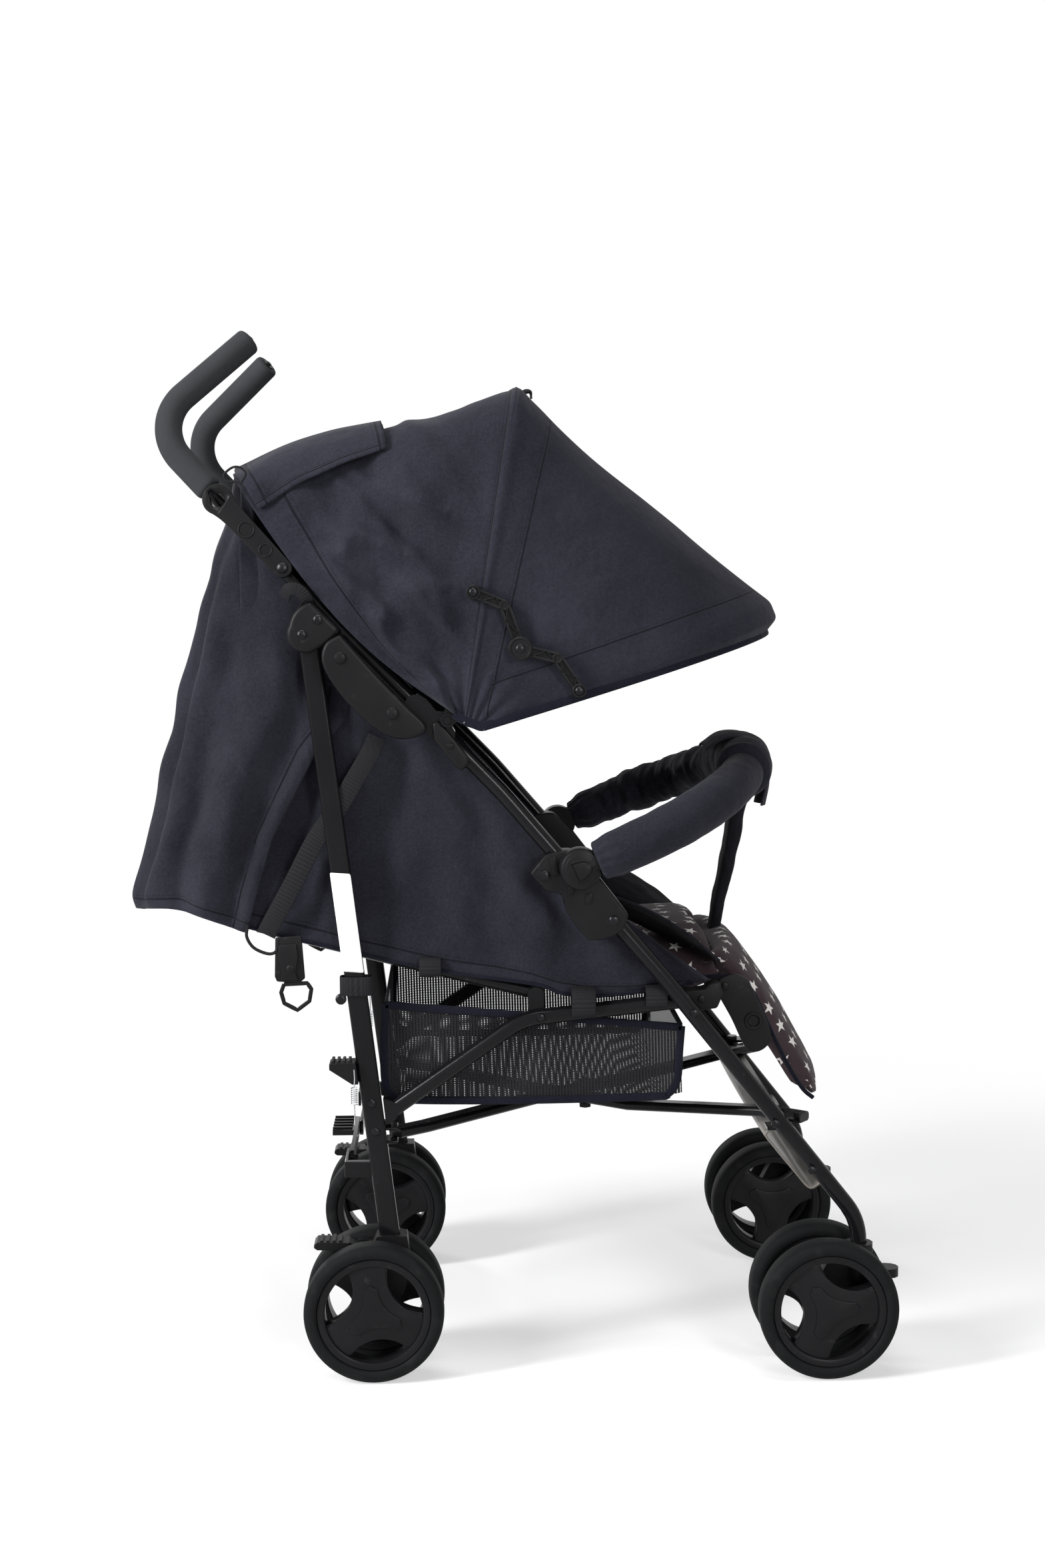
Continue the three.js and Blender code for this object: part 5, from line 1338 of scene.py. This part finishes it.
# Straps, buckles and clips of a side: outlines and runs in the side view.
fittings = {
    "recline": [(8, 642), (2, 628), (-12, 604), (-34, 568), (-54, 540), (-77, 496), (-98, 458), (-104, 446)],
    "loop": [(-122, 455), (-123, 444), (-116, 433), (-102, 427), (-94, 430), (-92, 442)],
    "buckle": [(-95, 443), (-69, 445), (-66, 402), (-72, 397), (-94, 399), (-96, 404)],
    "lid": [(-92, 436), (-74, 437), (-72, 424), (-75, 408), (-72, 400), (-90, 401), (-89, 411), (-92, 424)],
    "ring": [(-87, 396), (-64, 397), (-60, 391), (-62, 379), (-74, 370), (-87, 377), (-90, 388), (-87, 396)],
    "tongue": [(-26, 743), (-41, 733), (-43, 713), (-25, 683), (5, 653), (30, 641), (52, 645), (56, 655),
               (38, 673), (14, 698), (-10, 725)],
    "clip": [(62, 656), (69, 659), (84, 641), (97, 624), (98, 616), (91, 609), (84, 614), (64, 640)],
    "elastic": [(-121, 889), (-116, 898), (-121, 904), (-129, 904), (-137, 897), (-134, 891), (-124, 890),
                (-117, 884)],
    "plate": [(352, 392), (366, 396), (380, 390), (392, 366), (402, 342), (404, 328), (396, 318), (384, 316),
              (376, 324), (364, 350), (352, 372), (348, 384)],
    "cup": [(4.4, 0), (9.4, 0), (9.4, 5.2), (8.6, 6.4), (6.6, 6.4), (5.4, 5.0), (4.4, 1.6)],
    "block": [(310, 384), (334, 386), (341, 392), (349, 392), (352, 380), (346, 366), (330, 364), (312, 366)],
    "restPiping": [(326, 391), (345, 393), (362, 392), (376, 388), (388, 374), (398, 352), (410, 326),
                   (424, 298), (438, 276), (449, 266)],
    "hemPiping": [(-122, 452), (-60, 436), (60, 408), (161, 392), (187, 383), (213, 379), (252, 381),
                  (291, 386), (322, 391)],
    "lining": [(236, 482), (262, 472), (300, 452), (330, 430), (350, 412)],
    "rivets": [(-1, 184.2, 275.5, 4.4), (2.3, 184.2, 246.8, 4.4), (168, 181.4, 360, 4.6),
               (163, 164.2, 380, 4.4), (402, 197.4, 253, 4.2), (439, 197.2, 205, 4.2),
               (-30.6, 183, 381, 5.6), (320, 198, 366, 4.2)],
}


def addStraps(side):
    sign, body = sides[side], f"{side}_frame"

    def strap(name, key, out, section, look="webbing", steps=8, across=(0, 1, 0), body=body):
        path = throughPoints(line(fittings[key], sign * out), steps)
        return makePiece(f"{name}_{side}", sweepMesh(path, section, across), look, body)

    def plate(key, inner, outer, bevel, segments):
        return plateMesh(fittings[key], inner, outer, sign, bevel, segments)

    strap("recline_strap", "recline", 180, slabSection(19, 1.8, 0.81), across=(0.86, 0, -0.5))
    strap("strap_loop", "loop", 181, roundSection(1.6, 10), steps=6)
    strap("elastic_loop", "elastic", 190, roundSection(1.2, 10))
    strap("side_cloth_piping", "hemPiping", 169.5, roundSection(2, 12), "piping")
    foldIn(strap("leg_rest_piping", "restPiping", 144, roundSection(2.2, 12), "piping", body="leg_rest"), 146)
    makePiece(f"strap_buckle_{side}", [plate("buckle", 178, 182, 1.4, 3), plate("lid", 181.4, 184.4, 1.4, 3),
                                       rivetMesh(sign, -80, 184, 412, 4.2, 1.6)], "plastic", body)
    ring = line(fittings["ring"], sign * 180)
    ring = [point.lerp(after, n / 4) for point, after in zip(ring, ring[1:]) for n in range(4)] + ring[:1]
    makePiece(f"strap_ring_{side}", sweepMesh(ring, slabSection(4, 4, 1.2), caps=False), "plastic", body,
              sharp=60)
    for name, band in webbingBands.items():
        addBand(name, side, *band)

    # soft tongue with its two snaps, on the tube beside the canopy hem
    tongue = plateMesh(smoothOutline(fittings["tongue"], 5), 201, 209.4, sign, 3.8, 5)
    makePiece(f"canopy_tongue_{side}", tongue, "plastic", body, "canopy_fabric", 40)
    rivetPiece(f"tongue_snaps_{side}", [(-26, 209, 720, 6.2, 3.2), (24, 209, 666, 6.2, 3.2)], body, sign,
               "plastic")
    makePiece(f"canopy_clip_{side}", [plate("clip", 183, 205.5, 3, 4), rivetMesh(sign, 80, 205.3, 634, 3.6)],
              "plastic", body)
    rivetPiece(f"frame_rivets_{side}", [(*head, 2.4) for head in fittings["rivets"]], body, sign)

    # side plate that carries the leg rest, and the block it turns on
    carrier = [plateMesh(smoothOutline(fittings["plate"], 4), 146.5, 151, sign, 1.2, 3),
               turnedMesh(fittings["cup"], at(386, sign * 146.5, 348), sign, 32),
               rivetMesh(sign, 386, 148, 348, 3.4, 2), rivetMesh(sign, 357, 150.9, 384, 4.4)]
    foldIn(makePiece(f"leg_rest_plate_{side}", carrier, "plastic", "leg_rest"), 148)
    block = [plate("block", 152, 176, 2.5, 4), rivetMesh(sign, 330, 176, 376, 4.2)]
    makePiece(f"leg_rest_block_{side}", block, "plastic", body)
    print("straps and clips:", side)


lockSpring = {"out": 193, "turns": 8, "radius": 3, "wire": 0.55, "top": 294, "length": 17}


def addLockSpring(side):
    y, radius = sides[side] * lockSpring["out"], lockSpring["radius"]
    coil = []
    for n in range(14 * lockSpring["turns"] + 1):
        turn = 2 * math.pi * n / 14
        coil.append(at(-18 + radius * math.cos(turn), y + radius * math.sin(turn),
                       lockSpring["top"] - lockSpring["length"] * n / 14 / lockSpring["turns"]))
    parts = [sweepMesh(coil, roundSection(lockSpring["wire"], 8), (0, 0, 1))]
    for low, high in ((277, 256), (312, 294)):
        rod = [at(-18, y, low), at(-17.5, y, (low + high) / 2), at(-18, y, high)]
        parts.append(sweepMesh(rod, roundSection(0.6, 8)))
    makePiece(f"lock_spring_{side}", parts, "zinc", f"{side}_frame")


# Dark lining flap that folds down from each side cloth onto the seat.
def addLinerFlap(side):
    top = throughPoints(line(fittings["lining"]), 6)

    def spot(u, v):
        drop = 5 * math.sin(math.pi * v) - (26 - 10 * u) * v + 1.5 * softNoise(u * 5, v * 4, 2.2)
        across = sides[side] * (168 - 70 * v - 5 * math.sin(u * 8) * v)
        return top[round(u * (len(top) - 1))] + Vector((-6 * v, across, drop)) / 1000

    bm = gridMesh(24, 14, spot, (0.14, 0.08))
    piece = sheetPiece(f"lining_flap_{side}", bm, "lining", f"{side}_frame", 0.0022)


# Bare white band stuck along the near rear leg.
legBand = {"top": 508, "length": 99, "half": 10.2, "out": 184.5}


def addLegBand():
    def spot(u, v):
        z = legBand["top"] - legBand["length"] * v
        x = -59 + 79 * (744 - z) / 640
        out = legBand["out"] + 0.5 * math.sin(math.pi * v)
        return at(x + (2 * u - 1) * legBand["half"], -out, z - 1.5 * u)

    sheetPiece("blank_band_look", gridMesh(10, 24, spot, (0.02, 0.1)), "band", "right_frame", 0.0004)


# Webbing tab beside the carry latch, and the small hook at the hood's peak.
def addTabAndHook():
    tab = [at(-80, -188, 778), at(-76, -201, 786), at(-66, -203, 786), at(-58, -199, 776), at(-62, -188, 768)]
    tab = sweepMesh(throughPoints(tab), slabSection(12, 1.6, 0.72), (0.6, 0, -0.8))
    makePiece("latch_webbing", tab, "webbing", "right_frame")
    hook = throughPoints(line([(149, 984), (155, 989), (161, 996), (167, 996), (168, 989)]), 6)
    shape = sweepMesh(hook, slabSection(7, 4.4, 1.8, 3),
                      bulge=lambda share, angle: 0.6 + 0.7 * math.sin(math.pi * min(1, share * 1.15)))
    makePiece("peak_hook", shape, "plastic", "centre", sharp=40)


# Fold-over flap along the top of the hood's back edge.
hoodFlap = {"start": 0.303, "splay": 0.015, "front": 0.75, "rear": 0.992, "lift": 9, "size": (0.62, 0.11)}


def addFlap():
    def place(u, v):
        side = 2 * u - 1
        low = hoodFlap["start"] - hoodFlap["splay"] * v * v
        share = low + (1 - 2 * low) * u
        base = hoodSpot(share, hoodFlap["front"]).lerp(hoodSpot(share, hoodFlap["rear"]), v)
        lift = hoodFlap["lift"] + 6 * math.sin(math.pi * v) * (1 - abs(side) ** 3) - 5 * smoothStep(v, 0.6, 1)
        wave = 1.8 * softNoise(u * 9, v * 2, 3.1) + 1.2 * math.sin(u * 26) * v
        return base + Vector((-3 * v, side * 2.4 * v, lift + wave)) / 1000

    seams = (lambda u, v, spot: v * 0.1 - 0.004, lambda u, v, spot: (1 - v) * 0.1 - 0.008,
             lambda u, v, spot: (0.5 - abs(u - 0.5)) * 0.62 - 0.008, lambda u, v, spot: 1)
    piece = sheetPiece("canopy_flap", gridMesh(90, 18, place, hoodFlap["size"], seams), "hood", "centre")
    foldIn(piece, hood["foldHalf"])


# Hem binding round the hood's front lip and down its side edges.
def addBinding():
    def tape(spots, across=(0, 0, 1)):
        return sweepMesh([hoodSpot(u, v) for u, v in spots], slabSection(9, 3.2, 1.3, 3), across)

    edges = (0.0005, 0.9995)
    front = [tape([(n / 120, 0.004) for n in range(121)], (0.55, 0, -0.8))]
    front += [tape([(edge, 0.52 * n / 16) for n in range(17)]) for edge in edges]
    rear = [tape([(edge, 0.52 + 0.48 * n / 16) for n in range(17)]) for edge in edges]
    for name, parts, body in (("front", front, "canopy_front"), ("rear", rear, "centre")):
        foldIn(makePiece(f"canopy_binding_{name}", parts, "piping", body), hood["foldHalf"])


for side in sides:
    addStraps(side)
    addLockSpring(side)
    addLinerFlap(side)
addLegBand()
addTabAndHook()
addFlap()
addBinding()


# The room: light from all round, how far the white floor lets the shadow show, lamps and camera.
studio = {"fill": 0.12, "shadow": 0.5, "floor": (0.9, 0.9, 0.9, 1), "aim": (0, 0, 0.55)}
lamps = {
    "key_left": {"from": (-2.7, -1.5, 1.9), "size": (0.5, 1.8), "power": 170},
    "front": {"from": (1.3, -3.1, 1.7), "size": (0.45, 1.8), "power": 60},
    "top": {"from": (-0.2, -0.5, 3.0), "size": (2.0, 0.4), "power": 40},
    "rim_back": {"from": (-1.4, 2.4, 1.6), "size": (0.4, 1.8), "power": 35},
}
camera = {"from": (83.06, -2175.97, 764.69), "yaw": 0.0340, "pitch": -0.0852, "roll": -0.00428, "lens": 46.51}


# White to the camera and in reflections; the lit floor keeps the shadow near the object.
def addStage():
    look = Look("pale_floor", Roughness=0.9, Base_Color=studio["floor"])
    reach = look.node("VectorMath", {"operation": "LENGTH"}, {0: look.place()}, "Value")
    share = look.seen() * (reach.over(0.7, 1.5) * (1 - studio["shadow"]) + studio["shadow"])
    white = look.node("Emission", {}, {"Color": (1, 1, 1, 1), "Strength": 1.0})
    shown = look.node("MixShader", {}, {0: share, 1: Wire(look, look.shader.outputs[0]), 2: white})
    look.feed(look.tree.nodes["Material Output"].inputs["Surface"], shown)
    bm = bmesh.new()
    bmesh.ops.create_grid(bm, x_segments=1, y_segments=1, size=12)
    mesh = bpy.data.meshes.new("floor")
    bm.to_mesh(mesh)
    bm.free()
    mesh.materials.append(look.owner)
    floor = bpy.data.objects.new("floor", mesh)
    bpy.context.collection.objects.link(floor)
    sky = Look("studio", "worlds", "Background", Color=(1, 1, 1, 1))
    bpy.context.scene.world = sky.out(Strength=sky.seen() * (1 - studio["fill"]) + studio["fill"])


def addLamps():
    for name, lamp in lamps.items():
        light = bpy.data.lights.new(name, "AREA")
        light.shape = "RECTANGLE"
        light.size, light.size_y = lamp["size"]
        light.energy = lamp["power"]
        piece = bpy.data.objects.new(name, light)
        piece.location = lamp["from"]
        piece.rotation_euler = (Vector(studio["aim"]) - piece.location).to_track_quat("-Z", "Y").to_euler()
        bpy.context.collection.objects.link(piece)


def addCamera():
    data = bpy.data.cameras.new("object_view")
    data.lens = camera["lens"]
    data.sensor_fit = "VERTICAL"
    data.sensor_width = data.sensor_height = 36
    data.clip_end = 60
    eye = bpy.data.objects.new("object_view", data)
    bpy.context.collection.objects.link(eye)
    yaw, pitch, roll = camera["yaw"], camera["pitch"], camera["roll"]
    ahead = Vector((math.sin(yaw) * math.cos(pitch), math.cos(yaw) * math.cos(pitch), math.sin(pitch)))
    level = Vector((math.cos(yaw), -math.sin(yaw), 0))
    above = level.cross(ahead)
    right = level * math.cos(roll) + above * math.sin(roll)
    up = above * math.cos(roll) - level * math.sin(roll)
    turn = Matrix((right, up, -ahead)).transposed().to_4x4()
    eye.matrix_world = Matrix.Translation(at(*camera["from"])) @ turn
    bpy.context.scene.camera = eye


addStage()
addLamps()
addCamera()
bpy.context.scene.view_settings.view_transform = "Standard"
print("stage set")
